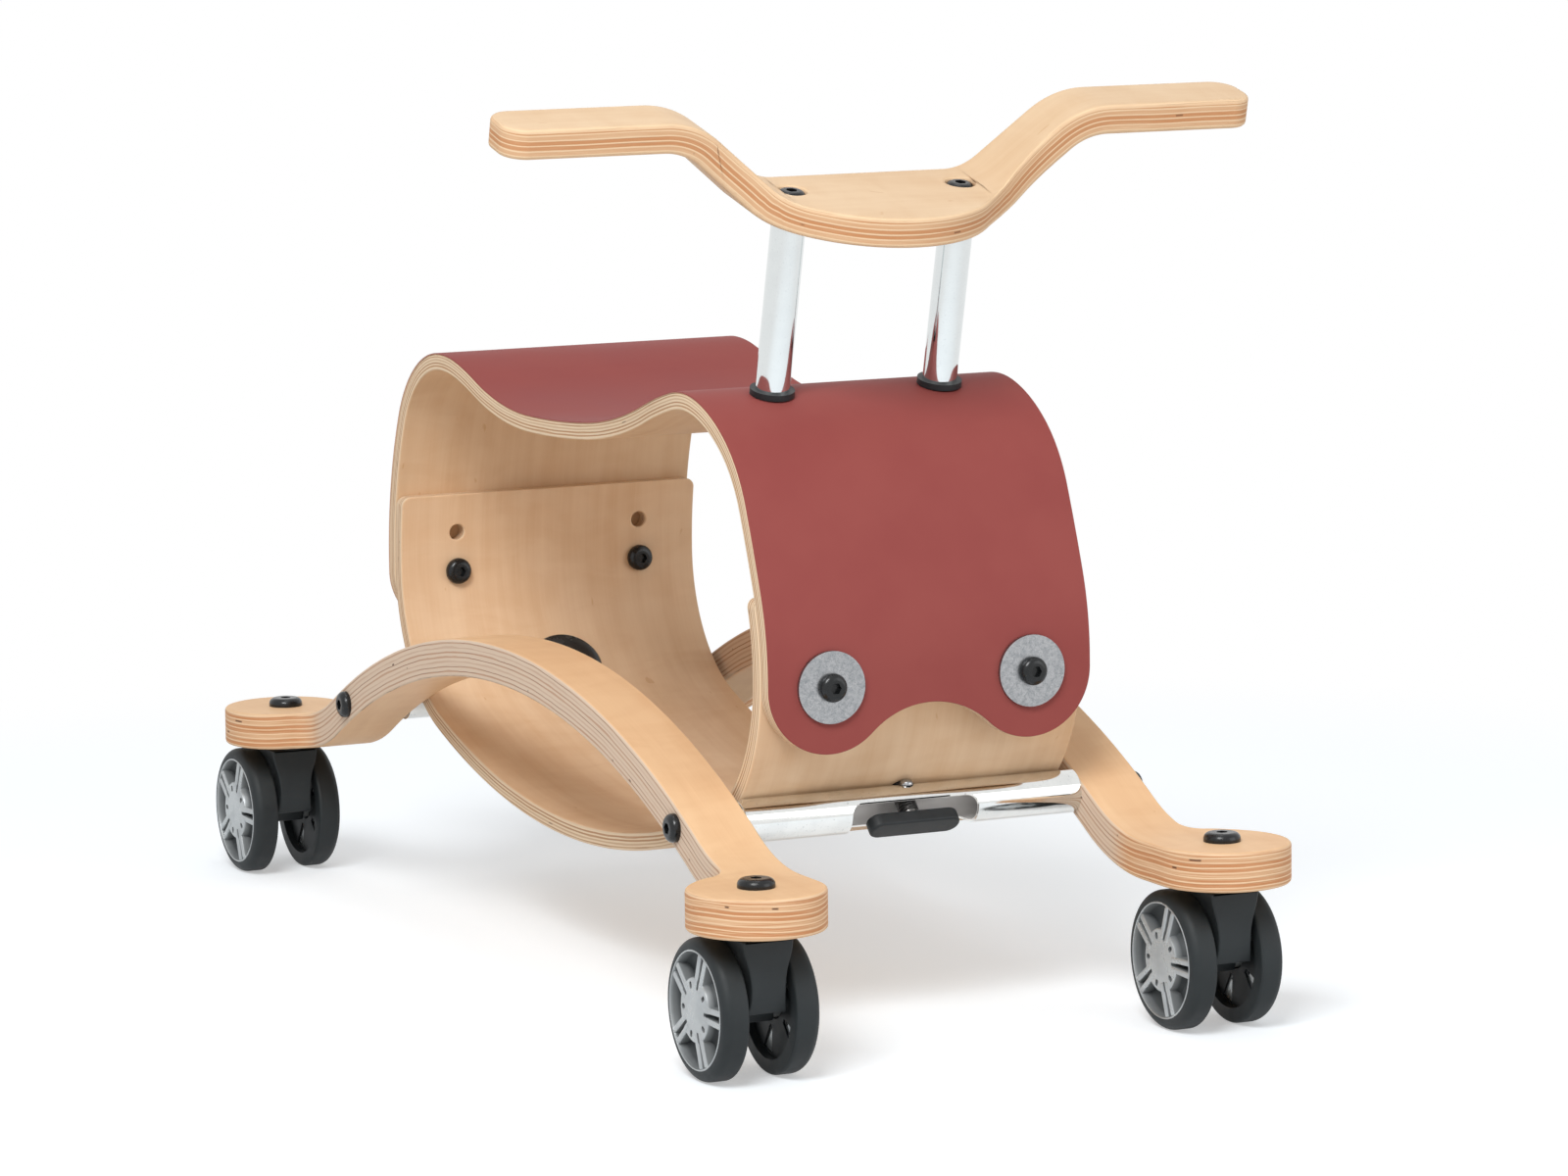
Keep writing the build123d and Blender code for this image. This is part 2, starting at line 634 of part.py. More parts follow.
# ---------------------------------------------------------------- handlebar
bar_top = post_gap + post_length + bar_ply
bar_middle = Vector(0, mid_y + post_foot_y, post_foot_z) + post_axis * bar_top
bar_forward = Vector(0, -cos(radians(post_tilt)), -sin(radians(post_tilt)))
bar_slope_run = bar_rise / (sin(radians(bar_slope)) / cos(radians(bar_slope)))
bar_grip_x = bar_foot_x + bar_slope_run
bar_elevation = Plane(origin=bar_middle, x_dir=(1, 0, 0), z_dir=bar_forward)
bar_plan = Plane(origin=bar_middle, x_dir=(1, 0, 0), z_dir=post_axis)
# Bulge of the plateau and the hollows that lead from it to the grips, in plan.
bulge_centre = bar_front - bar_bulge_radius
neck_centre = bar_grip_front + bar_neck_radius
neck_x = sqrt((bar_bulge_radius + bar_neck_radius) ** 2 - (neck_centre - bulge_centre) ** 2)
bulge_share = bar_bulge_radius / (bar_bulge_radius + bar_neck_radius)
bulge_end = (neck_x * bulge_share, bulge_centre + (neck_centre - bulge_centre) * bulge_share)

with BuildPart() as handlebar:
    with BuildSketch(bar_elevation):
        with BuildLine():
            top_line = FilletPolyline(
                (-bar_half_length, bar_rise),
                (-bar_grip_x, bar_rise),
                (-bar_foot_x, 0),
                (bar_foot_x, 0),
                (bar_grip_x, bar_rise),
                (bar_half_length, bar_rise),
                radius=[bar_grip_radius, bar_foot_radius, bar_foot_radius, bar_grip_radius],
            )
            offset(amount=bar_ply, side=Side.RIGHT, closed=True)
        make_face()
    extrude(amount=bar_front + bar_back, both=True)
    with BuildSketch(bar_plan) as bar_outline:
        with BuildLine():
            Line((-bar_half_length, bar_back), (bar_half_length, bar_back))
            Line((bar_half_length, bar_back), (bar_half_length, -bar_grip_front))
            Line((bar_half_length, -bar_grip_front), (neck_x, -bar_grip_front))
            TangentArc((neck_x, -bar_grip_front), (bulge_end[0], -bulge_end[1]), tangent=(-1, 0))
            ThreePointArc((bulge_end[0], -bulge_end[1]), (0, -bar_front), (-bulge_end[0], -bulge_end[1]))
            TangentArc((-neck_x, -bar_grip_front), (-bulge_end[0], -bulge_end[1]), tangent=(1, 0))
            Line((-neck_x, -bar_grip_front), (-bar_half_length, -bar_grip_front))
            Line((-bar_half_length, -bar_grip_front), (-bar_half_length, bar_back))
        make_face()
        tips = bar_outline.vertices().filter_by(lambda v: abs(v.X) > bar_half_length - 1)
        fillet(tips, radius=bar_end_radius)
    extrude(amount=through, both=True, mode=Mode.INTERSECT)
    with Locations(*[bar_plan.location * Location((x, 0, 0)) for x in (-post_x, post_x)]):
        Cylinder(bolt_shank / 2 + hole_clearance, 4 * bar_ply, mode=Mode.SUBTRACT)
        Cylinder(head_diameter / 2 + hole_clearance, 2 * head_height, mode=Mode.SUBTRACT)
save(handlebar.part, "handlebar")

bar_bolts = []
foot_bolts = []
foot_bolt_seat = -shell_total - washer_thickness - foot_washer_drop
for x in (-post_x, post_x):
    bar_bolts.append(button_bolt(post_plane(x, bar_top - head_height), bolt_shank, bar_ply + plug_length / 2))
    under = post_plane(x, foot_bolt_seat)
    down = Plane(origin=under.origin, x_dir=(1, 0, 0), z_dir=-under.z_dir)
    foot_bolts.append(button_bolt(down, bolt_shank, plug_length / 2 - foot_bolt_seat))
group(bar_bolts, "handlebar_bolts")
group(foot_bolts, "post_foot_bolts")

with BuildPart() as foot_washers:
    for x in (-post_x, post_x):
        with BuildSketch(post_plane(x, foot_bolt_seat)):
            Circle(foot_washer_diameter / 2)
            Circle(bolt_shank / 2 + hole_clearance, mode=Mode.SUBTRACT)
        extrude(amount=washer_thickness)
save(foot_washers.part, "post_foot_washers")

post_inner = post_diameter / 2 - post_wall
for name, hand in hands.items():
    with BuildPart() as post:
        with BuildSketch(post_plane(hand * post_x, post_gap)):
            Circle(post_diameter / 2)
            Circle(post_inner, mode=Mode.SUBTRACT)
        extrude(amount=post_length)
    save(post.part, f"post_{name}")

with BuildPart() as post_plugs:
    for x in (-post_x, post_x):
        for start in (2 * post_gap, post_length - plug_length):
            with BuildSketch(post_plane(x, start)):
                Circle(post_inner - running_clearance)
                Circle(bolt_shank / 2 + running_clearance, mode=Mode.SUBTRACT)
            extrude(amount=plug_length)
save(post_plugs.part, "post_plugs")

with BuildPart() as collars:
    for x in (-post_x, post_x):
        with BuildSketch(post_plane(x, post_gap)):
            Circle(collar_diameter / 2)
            Circle(post_diameter / 2 + running_clearance, mode=Mode.SUBTRACT)
        extrude(amount=collar_height)
save(collars.part, "post_collars")

# ---------------------------------------------------------------- casters
fork_top = pad_height - swivel_gap
crown_bottom = fork_top - fork_crown
stem_bottom = pad_height - stem_drop
axle_half = wheel_gap / 2 + tyre_width - rim_plate - 2 * face_gap
rim_radius = wheel_radius - tyre_depth
fork_front = fork_crown_radius - fork_side_in
lip_radius = rim_radius - rim_lip


def caster_fork(x, y):
    """The forked housing that swivels under a pad and carries the axle behind its stem."""
    with BuildPart() as fork:
        with BuildSketch(level(x, y, crown_bottom)):
            Circle(fork_crown_radius)
        extrude(amount=fork_crown)
        with BuildSketch(side(x - fork_width / 2)):
            with BuildLine():
                Polyline(
                    (y - fork_front, crown_bottom + fork_side_in),
                    (y - fork_front, pad_height - fork_front_drop),
                    (y - fork_side_in, fork_tip_height),
                    (y + caster_trail + fork_heel, fork_tip_height),
                    (y + caster_trail + fork_back, wheel_radius + fork_back_rise),
                    (y + fork_crown_radius + 2 * fork_side_in, crown_bottom - fork_shoulder),
                    (y + fork_front, crown_bottom + fork_side_in),
                    close=True,
                )
            make_face()
        extrude(amount=fork_width)
        with BuildSketch(Plane(origin=(x, mid_y + y, 0), x_dir=(1, 0, 0), z_dir=(0, -1, 0))):
            with BuildLine():
                Polyline(
                    (-fork_tip_width / 2, 0),
                    (-fork_width / 2, pad_height / 2),
                    (-fork_width / 2, crown_bottom),
                    (-fork_crown_radius, crown_bottom),
                    (-fork_crown_radius, pad_height),
                    (fork_crown_radius, pad_height),
                    (fork_crown_radius, crown_bottom),
                    (fork_width / 2, crown_bottom),
                    (fork_width / 2, pad_height / 2),
                    (fork_tip_width / 2, 0),
                    close=True,
                )
            make_face()
        extrude(amount=wheel_diameter, both=True, mode=Mode.INTERSECT)
        with BuildSketch(level(x, y, stem_bottom - face_gap)):
            Circle(stem_diameter / 2 + running_clearance)
        extrude(amount=stem_drop + stem_rise, mode=Mode.SUBTRACT)
        with Locations(across(x, y + caster_trail, wheel_radius, 1)):
            Cylinder(axle_diameter / 2 + running_clearance, through, mode=Mode.SUBTRACT)
    return fork.part


def wheel_plane(x, y, hand, out=0.0):
    """The plane of one wheel's inner face, looking outwards, moved out by a distance."""
    return across(x + hand * (wheel_gap / 2 + out), y + caster_trail, wheel_radius, hand)


def caster_tyre(x, y, hand):
    """A solid rubber tyre with a round outer shoulder."""
    with BuildPart() as tyre:
        with BuildSketch(wheel_plane(x, y, hand)):
            Circle(wheel_radius)
            Circle(rim_radius + running_clearance, mode=Mode.SUBTRACT)
        extrude(amount=tyre_width)
        big = tyre.edges().filter_by(GeomType.CIRCLE).group_by(SortBy.RADIUS)[-1]
        big = big.sort_by(lambda e: hand * e.center().X)
        fillet(big[-1], radius=tyre_shoulder)
        fillet(big[0], radius=tyre_inner_edge)
    return tyre.part


def caster_rim(x, y, hand):
    """A spoked rim with a barrel, a slightly proud face plate and a blind hub boss."""
    face = tyre_width - rim_plate + rim_proud
    with BuildPart() as rim:
        with BuildSketch(wheel_plane(x, y, hand, face_gap)):
            Circle(rim_radius)
            Circle(lip_radius, mode=Mode.SUBTRACT)
            Circle(hub_boss)
        extrude(amount=face - face_gap)
        with BuildSketch(wheel_plane(x, y, hand, face)):
            Circle(rim_radius)
            with PolarLocations(0, rim_spokes, start_angle=90):
                with Locations((lip_radius - spoke_slot_inset, 0)):
                    SlotCenterToCenter(spoke_slot, spoke_slot_width, mode=Mode.SUBTRACT)
            with PolarLocations(0, rim_spokes, start_angle=90 + 180 / rim_spokes):
                with BuildLine():
                    Polyline(
                        (hub_radius + window_margin, -window_root / 2),
                        (lip_radius - window_margin, -window_top / 2),
                        (lip_radius - window_margin, window_top / 2),
                        (hub_radius + window_margin, window_root / 2),
                        close=True,
                    )
                make_face(mode=Mode.SUBTRACT)
        extrude(amount=rim_plate)
        with BuildSketch(wheel_plane(x, y, hand)):
            Circle(axle_diameter / 2 + running_clearance)
        extrude(amount=face, mode=Mode.SUBTRACT)
    return rim.part


def caster_axle(x, y):
    """The steel axle that carries both wheels of a caster."""
    with BuildPart() as axle:
        with BuildSketch(across(x - axle_half, y + caster_trail, wheel_radius, 1)):
            Circle(axle_diameter / 2)
        extrude(amount=2 * axle_half)
    return axle.part


caps = []
stems = []
for end_name, end in ends.items():
    for hand_name, hand in hands.items():
        place = f"{end_name}_{hand_name}"
        x = hand * caster_x
        y = end * caster_y
        save(caster_fork(x, y), f"caster_fork_{place}")
        save(caster_axle(x, y), f"caster_axle_{place}")
        for wheel_name, wheel_hand in {"a": 1, "b": -1}.items():
            save(caster_tyre(x, y, wheel_hand), f"tyre_{place}_{wheel_name}")
            save(caster_rim(x, y, wheel_hand), f"rim_{place}_{wheel_name}")
        caps.append(button_bolt(level(x, y, pad_top), bolt_shank, arch_ply + stem_drop / 2, cap_diameter, cap_height))
        with BuildPart() as stem:
            with BuildSketch(level(x, y, stem_bottom)):
                Circle(stem_diameter / 2)
                Circle(bolt_shank / 2 + running_clearance, mode=Mode.SUBTRACT)
            extrude(amount=stem_drop + stem_rise - face_gap)
        stems.append(stem.part)
group(caps, "caster_cap_bolts")
group(stems, "caster_stems")
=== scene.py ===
"""Looks of a child's ride-on toy: a bent plywood body on twin-wheel casters.

Sizes are in millimetres while a piece is shaped, and a finished piece is brought to metres
with its place in its mesh.  The toy faces -Y, and +X is the rider's left.
"""

import logging
from collections.abc import Callable, Iterable, Sequence
from dataclasses import dataclass, field
from enum import Enum
from math import asin, atan2, ceil, cos, degrees, pi, radians, sin, sqrt, tau

import bpy
from mathutils import Matrix, Vector


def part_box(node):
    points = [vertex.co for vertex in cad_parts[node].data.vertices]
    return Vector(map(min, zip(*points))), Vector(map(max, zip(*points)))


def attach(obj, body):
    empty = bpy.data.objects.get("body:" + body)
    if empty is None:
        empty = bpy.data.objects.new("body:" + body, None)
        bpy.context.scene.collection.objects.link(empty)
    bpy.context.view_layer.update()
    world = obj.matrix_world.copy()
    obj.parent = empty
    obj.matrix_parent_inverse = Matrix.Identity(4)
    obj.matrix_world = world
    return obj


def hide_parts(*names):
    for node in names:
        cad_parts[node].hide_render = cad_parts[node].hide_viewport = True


MM = 0.001
LOG = logging.getLogger("ride_on")
Piece, Node, Socket = bpy.types.Object, bpy.types.Node, bpy.types.NodeSocket
X, Y, Z = Vector((1, 0, 0)), Vector((0, 1, 0)), Vector((0, 0, 1))
SPARE = 4.0
FINE_STEP = radians(2.0)
COARSE_STEP = radians(5.0)
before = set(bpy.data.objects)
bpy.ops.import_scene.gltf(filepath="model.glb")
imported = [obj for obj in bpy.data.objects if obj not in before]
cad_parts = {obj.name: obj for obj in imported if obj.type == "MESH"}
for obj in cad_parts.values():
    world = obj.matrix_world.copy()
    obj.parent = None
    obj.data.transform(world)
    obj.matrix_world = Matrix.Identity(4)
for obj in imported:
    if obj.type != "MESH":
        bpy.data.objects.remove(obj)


# ------------------------------------------------------------------ drawing
@dataclass(frozen=True)
class Bench:
    """A drawing plane: its origin and the ways in which its two axes run.

    Attributes:
        origin: Where the plane's own origin lies, in millimetres.
        along: Unit vector of the first axis.
        up: Unit vector of the second axis.
    """

    origin: Vector
    along: Vector
    up: Vector

    @property
    def across(self) -> Vector:
        """The normal of the plane."""
        return self.along.cross(self.up)

    def at(self, a: float, b: float, c: float = 0.0) -> Vector:
        """A point in space from its place on the plane and its height over it."""
        return self.origin + self.along * a + self.up * b + self.across * c

    def place(self, point: Vector) -> tuple[float, float, float]:
        """The place on the plane of a point in space, and its height over the plane."""
        arm = point - self.origin
        return arm.dot(self.along), arm.dot(self.up), arm.dot(self.across)


FRONT_VIEW = Bench(Vector((0, 0, 0)), X, Z)
SIDE_VIEW = Bench(Vector((0, 0, 0)), Y, Z)


@dataclass(frozen=True)
class Leg:
    """One leg of a route: a straight run, or a bend where its radius isn't zero.

    Attributes:
        start: Where the leg starts on its plane.
        way: Heading at the start, in radians from the first axis.
        length: Length of the leg.
        radius: Radius of the bend, positive where it turns left and zero on a run.
    """

    start: Vector
    way: float
    length: float
    radius: float = 0.0

    @property
    def turn(self) -> float:
        """The angle through which the leg turns left."""
        return self.length / self.radius if self.radius else 0.0

    @property
    def left(self) -> Vector:
        """Unit vector to the left of the heading at the start."""
        return Vector((-sin(self.way), cos(self.way)))

    @property
    def centre(self) -> Vector:
        """The middle of the bend's circle."""
        return self.start + self.left * self.radius

    def point(self, travel: float) -> Vector:
        """The point at a distance along the leg."""
        if not self.radius:
            return self.start + Vector((cos(self.way), sin(self.way))) * travel
        angle = self.way + travel / self.radius
        return self.centre - Vector((-sin(angle), cos(angle))) * self.radius

    def beside(self, depth: float) -> "Leg":
        """The same leg moved to its right by a depth."""
        start = self.start - self.left * depth
        if not self.radius:
            return Leg(start, self.way, self.length)
        radius = self.radius + depth
        return Leg(start, self.way, self.turn * radius, radius)

    def part(self, first: float, last: float) -> "Leg":
        """The stretch of the leg between two distances along it."""
        way = self.way + (first / self.radius if self.radius else 0.0)
        return Leg(self.point(first), way, last - first, self.radius)

    def locate(self, spot: Vector) -> tuple[float, float, float]:
        """Where a spot lies beside the leg.

        Args:
            spot: A place on the plane.

        Returns:
            How far the spot misses the leg's ends, the distance along it and the depth to
            its right.
        """
        if not self.radius:
            arm = spot - self.start
            travel = arm.dot(Vector((cos(self.way), sin(self.way))))
            depth = -arm.dot(self.left)
        else:
            arm = spot - self.centre
            back = self.start - self.centre
            angle = atan2(back.x * arm.y - back.y * arm.x, back.dot(arm))
            travel = angle * self.radius
            depth = (arm.length - abs(self.radius)) * (1 if self.radius > 0 else -1)
        miss = max(-travel, travel - self.length, 0.0)
        return miss, travel, depth


class Route:
    """A smooth line of runs and bends on a plane."""

    def __init__(self, start: Sequence[float], heading: float) -> None:
        """Starts a route at a point, with a heading in degrees."""
        self.start = Vector(start)
        self.way = radians(heading)
        self.legs: list[Leg] = []

    def _end(self) -> tuple[Vector, float]:
        """Where the route has come to, and its heading there."""
        if not self.legs:
            return self.start, self.way
        last = self.legs[-1]
        return last.point(last.length), last.way + last.turn

    def run(self, length: float) -> "Route":
        """Goes straight on."""
        place, way = self._end()
        self.legs.append(Leg(place, way, length))
        return self

    def bend(self, radius: float, angle: float) -> "Route":
        """Turns left through an angle in degrees, or right where it is negative."""
        place, way = self._end()
        signed = radius if angle > 0 else -radius
        self.legs.append(Leg(place, way, abs(radians(angle)) * radius, signed))
        return self

    def bend_to(self, target: Sequence[float]) -> "Route":
        """Goes on to a point in one bend."""
        place, way = self._end()
        chord = Vector(target) - place
        half = (atan2(chord.y, chord.x) - way + pi) % tau - pi
        length = chord.length * half / sin(half)
        self.legs.append(Leg(place, way, length, chord.length / (2 * sin(half))))
        return self

    def through(self, stations: Iterable[tuple[float, float, float]]) -> "Route":
        """Goes on through stations in pairs of bends.

        Args:
            stations: Each station's two places and its heading in degrees.

        Returns:
            The route itself.
        """
        for across, up, heading in stations:
            start, way = self._end()
            end = Vector((across, up))
            first = Vector((cos(way), sin(way)))
            last = Vector((cos(radians(heading)), sin(radians(heading))))
            span = end - start
            both = span.dot(first + last)
            spread = 2 * (1 - first.dot(last)) * span.length_squared
            reach = span.length_squared / (both + sqrt(both * both + spread))
            self.bend_to((start + end + (first - last) * reach) / 2).bend_to(end)
        return self

    def beside(self, depth: float) -> "Route":
        """The same route moved to its right by a depth."""
        other = Route(self.start, degrees(self.way))
        other.legs = [leg.beside(depth) for leg in self.legs]
        return other

    def locate(self, spot: Vector) -> tuple[float, float]:
        """The distance along the route and the depth to its right of a place on its plane."""
        found, gone = [], 0.0
        for leg in self.legs:
            miss, travel, depth = leg.locate(spot)
            found.append((miss + 0.001 * abs(depth), gone + travel, depth))
            gone += leg.length
        best = min(found)
        return best[1], best[2]


class Work:
    """One mesh that is drawn and shaped in edit mode."""

    STEP = radians(3.0)
    FACET = 6.0

    def __init__(self, name: str, bench: Bench, start: Sequence[float]) -> None:
        """Starts a mesh as one point.

        Args:
            name: Name of the piece.
            bench: The plane that it is drawn on.
            start: Place of the point on the plane, with its height over it.
        """
        bpy.ops.object.select_all(action="DESELECT")
        bpy.ops.mesh.primitive_plane_add(size=1.0, enter_editmode=True)
        self.piece = bpy.context.object
        self.piece.name = name
        self.piece.data.name = name
        self.bench = bench
        bpy.ops.mesh.merge(type="CENTER")
        bpy.ops.transform.translate(value=bench.at(*start))

    def move(self, a: float, b: float, c: float) -> Vector:
        """A move in space from its three parts on the bench."""
        bench = self.bench
        return bench.along * a + bench.up * b + bench.across * c

    def edge(self, a: float, b: float, c: float = 0.0) -> "Work":
        """Pulls an edge out of the selected point."""
        bpy.ops.mesh.extrude_vertices_move(TRANSFORM_OT_translate={"value": self.move(a, b, c)})
        return self

    def line(self, points: Sequence[Sequence[float]]) -> "Work":
        """Pulls edges from point to point, the first being where the work is."""
        for here, there in zip(points, points[1:]):
            self.edge(there[0] - here[0], there[1] - here[1])
        return self

    @staticmethod
    def weld(threshold: float) -> None:
        """Selects the whole mesh and merges its doubles."""
        bpy.ops.mesh.select_all(action="SELECT")
        bpy.ops.mesh.remove_doubles(threshold=threshold)

    def face(self, a: float, b: float, c: float = 0.0) -> "Work":
        """Pulls a face out of all edges."""
        bpy.ops.mesh.select_all(action="SELECT")
        bpy.ops.mesh.extrude_edges_move(TRANSFORM_OT_translate={"value": self.move(a, b, c)})
        bpy.ops.mesh.select_all(action="SELECT")
        return self

    def pull(self, a: float, b: float, c: float = 0.0) -> "Work":
        """Pulls the selected face into a solid."""
        bpy.ops.mesh.extrude_region_move(TRANSFORM_OT_translate={"value": self.move(a, b, c)})
        return self

    def follow(self, route: Route, points: bool = False, step: float = STEP) -> "Work":
        """Takes what is selected along a route.

        Args:
            route: The route, which starts where the selection is.
            points: Whether a point is taken along, which draws a line.
            step: Largest turn of one facet, in radians.

        Returns:
            The work itself.
        """
        for leg in route.legs:
            if leg.radius:
                bpy.ops.mesh.spin(
                    steps=max(2, ceil(max(abs(leg.turn) / step, leg.length / self.FACET))),
                    angle=-leg.turn,
                    center=self.bench.at(*leg.centre),
                    axis=self.bench.across,
                )
            elif leg.length > 1e-6:
                travel = leg.point(leg.length) - leg.start
                (self.edge if points else self.pull)(travel.x, travel.y)
        return self

    def fill(self) -> "Work":
        """Closes a drawn outline and fills it with one face."""
        self.weld(0.01)
        bpy.ops.mesh.edge_face_add()
        return self

    def lathe(self, steps: int, centre: Sequence[float], axis: Vector) -> "Work":
        """Turns a drawn profile once round an axis."""
        bpy.ops.mesh.select_all(action="SELECT")
        bpy.ops.mesh.spin(steps=steps, angle=tau, center=self.bench.at(*centre), axis=axis)
        return self

    def done(self, joint: float = 0.001) -> Piece:
        """Leaves edit mode with doubles merged and all faces outwards."""
        self.weld(joint)
        bpy.ops.mesh.normals_make_consistent(inside=False)
        bpy.ops.object.mode_set(mode="OBJECT")
        return self.piece


# ------------------------------------------------------------------ shaping
class Cut(Enum):
    """How a cutter changes a piece."""

    KEEP_INSIDE = "INTERSECT"
    AWAY = "DIFFERENCE"


def choose(piece: Piece) -> None:
    """Makes a piece the only one selected, and the active one."""
    bpy.ops.object.select_all(action="DESELECT")
    piece.select_set(True)
    bpy.context.view_layer.objects.active = piece


def join(piece: Piece, other: Piece) -> None:
    """Joins another piece into a piece."""
    choose(piece)
    other.select_set(True)
    bpy.ops.object.join()


def modify(piece: Piece, kind: str, **settings: object) -> None:
    """Adds a modifier to a piece and applies it.

    Args:
        piece: The piece to change.
        kind: Blender's name of the modifier.
        **settings: The modifier's own settings.
    """
    choose(piece)
    modifier = piece.modifiers.new(kind.title(), kind)
    for key, value in settings.items():
        setattr(modifier, key, value)
    bpy.ops.object.modifier_apply(modifier=modifier.name)


def carve(piece: Piece, cutter: Piece, cut: Cut = Cut.AWAY) -> None:
    """Cuts a piece with another, which is used up."""
    modify(piece, "BOOLEAN", object=cutter, operation=cut.value, solver="EXACT")
    bpy.data.objects.remove(cutter, do_unlink=True)


def tidy(piece: Piece, merge: float = 0.15, flat: float = 0.4) -> None:
    """Merges close points of a cut piece and dissolves needless ones."""
    choose(piece)
    bpy.ops.object.mode_set(mode="EDIT")
    Work.weld(merge)
    bpy.ops.mesh.dissolve_limited(angle_limit=radians(flat))
    bpy.ops.mesh.normals_make_consistent(inside=False)
    bpy.ops.object.mode_set(mode="OBJECT")


def ease(piece: Piece, width: float, segments: int = 2, angle: float = 40.0) -> None:
    """Rounds the edges of a piece that turn by more than an angle."""
    modify(
        piece,
        "BEVEL",
        width=width,
        segments=segments,
        limit_method="ANGLE",
        angle_limit=radians(angle),
        use_clamp_overlap=False,
        miter_outer="MITER_ARC",
    )


def smooth(piece: Piece, angle: float = 32.0, weighted: bool = True) -> None:
    """Shades a piece smooth where it turns by less than an angle."""
    modify(piece, "TRIANGULATE", min_vertices=5, ngon_method="BEAUTY")
    choose(piece)
    bpy.ops.object.shade_smooth_by_angle(angle=radians(angle))
    if weighted:
        modify(piece, "WEIGHTED_NORMAL", keep_sharp=True, mode="FACE_AREA_WITH_ANGLE")


def settle(piece: Piece) -> Piece:
    """Brings a finished piece from millimetres to metres, with its place in its mesh."""
    choose(piece)
    piece.scale = (MM, MM, MM)
    bpy.ops.object.transform_apply(location=True, rotation=True, scale=True)
    return piece


def copy_piece(piece: Piece, name: str, move: Matrix) -> Piece:
    """A copy of a settled piece with its own mesh, moved in metres."""
    twin = piece.copy()
    twin.data = piece.data.copy()
    twin.name = name
    twin.data.name = name
    twin.data.transform(move)
    bpy.context.scene.collection.objects.link(twin)
    return twin


STOOD_FOR: set[str] = set()


def hand_over(
    piece: Piece, body: str, finish: "Finish", *nodes: str, slot: str = ""
) -> None:
    """Dresses a piece, fixes it to its body and names the nodes that it stands for."""
    finish.put_on(piece)
    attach(piece, body)
    if nodes:
        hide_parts(*nodes)
    slot or finish.slot
    STOOD_FOR.update(nodes)
    LOG.info("%s rides on %s: %d faces", piece.name, body, len(piece.data.polygons))


def middle(node: str) -> Vector:
    """The middle of a node's box, in millimetres."""
    low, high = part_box(node)
    return (Vector(low) + Vector(high)) / (2 * MM)


def rod(
    name: str, bench: Bench, place: Sequence[float], radius: float, length: float
) -> Piece:
    """A round bar that stands on a plane, mostly for cutting holes."""
    work = Work(name, bench, (place[0] + radius, place[1], place[2]))
    bpy.ops.mesh.select_all(action="SELECT")
    bpy.ops.mesh.spin(steps=48, angle=tau, center=bench.at(*place), axis=bench.across)
    work.fill().pull(0, 0, length)
    return work.done()


# ------------------------------------------------------------------ finishes
def shade(code: str) -> tuple[float, float, float, float]:
    """A colour from its six-digit code, in linear light."""
    parts = [int(code[i : i + 2], 16) / 255 for i in (0, 2, 4)]
    return (*((c / 12.92 if c <= 0.04045 else ((c + 0.055) / 1.055) ** 2.4) for c in parts), 1.0)


class Wiring:
    """Adds nodes to a material or a node group and joins them."""

    def __init__(self, tree: bpy.types.NodeTree) -> None:
        """Takes the tree that the nodes go into."""
        self.tree = tree

    def feed(self, socket: Socket, value: object) -> None:
        """Links a socket to another, or sets its value."""
        if isinstance(value, Socket):
            self.tree.links.new(value, socket)
        else:
            socket.default_value = value

    def add(self, kind: str, inputs: dict | None = None, **settings: object) -> Node:
        """Adds a node.

        Args:
            kind: Blender's name of the node.
            inputs: Values or sockets for its inputs.
            **settings: The node's own settings.

        Returns:
            The new node.
        """
        node = self.tree.nodes.new(kind)
        for key, value in settings.items():
            setattr(node, key, value)
        for key, value in (inputs or {}).items():
            self.feed(node.inputs[key], value)
        return node

    def sum(self, operation: str, *values: object, clamp: bool = False) -> Socket:
        """The result of a sum of one to three values."""
        inputs = dict(enumerate(values))
        return self.add("ShaderNodeMath", inputs, operation=operation, use_clamp=clamp).outputs[0]

    def mix(self, share: object, first: object, second: object) -> Socket:
        """A mix of two colours."""
        inputs = {0: share, 6: first, 7: second}
        return self.add("ShaderNodeMix", inputs, data_type="RGBA", clamp_result=True).outputs[2]

    def ramp(
        self, value: object, low: float, high: float, to: tuple[float, float] = (0.0, 1.0)
    ) -> Socket:
        """A value taken smoothly from one range to another."""
        inputs = {"Value": value, "From Min": low, "From Max": high, "To Min": to[0], "To Max": to[1]}
        return self.add("ShaderNodeMapRange", inputs, interpolation_type="SMOOTHSTEP").outputs[0]

    def noise(
        self, vector: object, scale: Sequence[float], detail: float = 3.0, warp: float = 0.0
    ) -> Socket:
        """Even noise over a vector, finer where the scale is larger."""
        vector = self.add("ShaderNodeMapping", {"Vector": vector, "Scale": scale}).outputs[0]
        inputs = {"Vector": vector, "Scale": 1.0, "Detail": detail, "Roughness": 0.55, "Distortion": warp}
        return self.add("ShaderNodeTexNoise", inputs).outputs["Fac"]

    def place(self) -> Socket:
        """Where a point lies in its piece."""
        return self.add("ShaderNodeTexCoord").outputs["Object"]

    def attribute(self, name: str, output: str = "Vector") -> Socket:
        """A mesh attribute of the piece."""
        return self.add("ShaderNodeAttribute", attribute_name=name).outputs[output]

    def split(self, vector: object) -> bpy.types.NodeOutputs:
        """The three parts of a vector."""
        return self.add("ShaderNodeSeparateXYZ", {"Vector": vector}).outputs

    def length(self, vector: object) -> Socket:
        """The length of a vector."""
        return self.add("ShaderNodeVectorMath", {0: vector}, operation="LENGTH").outputs["Value"]


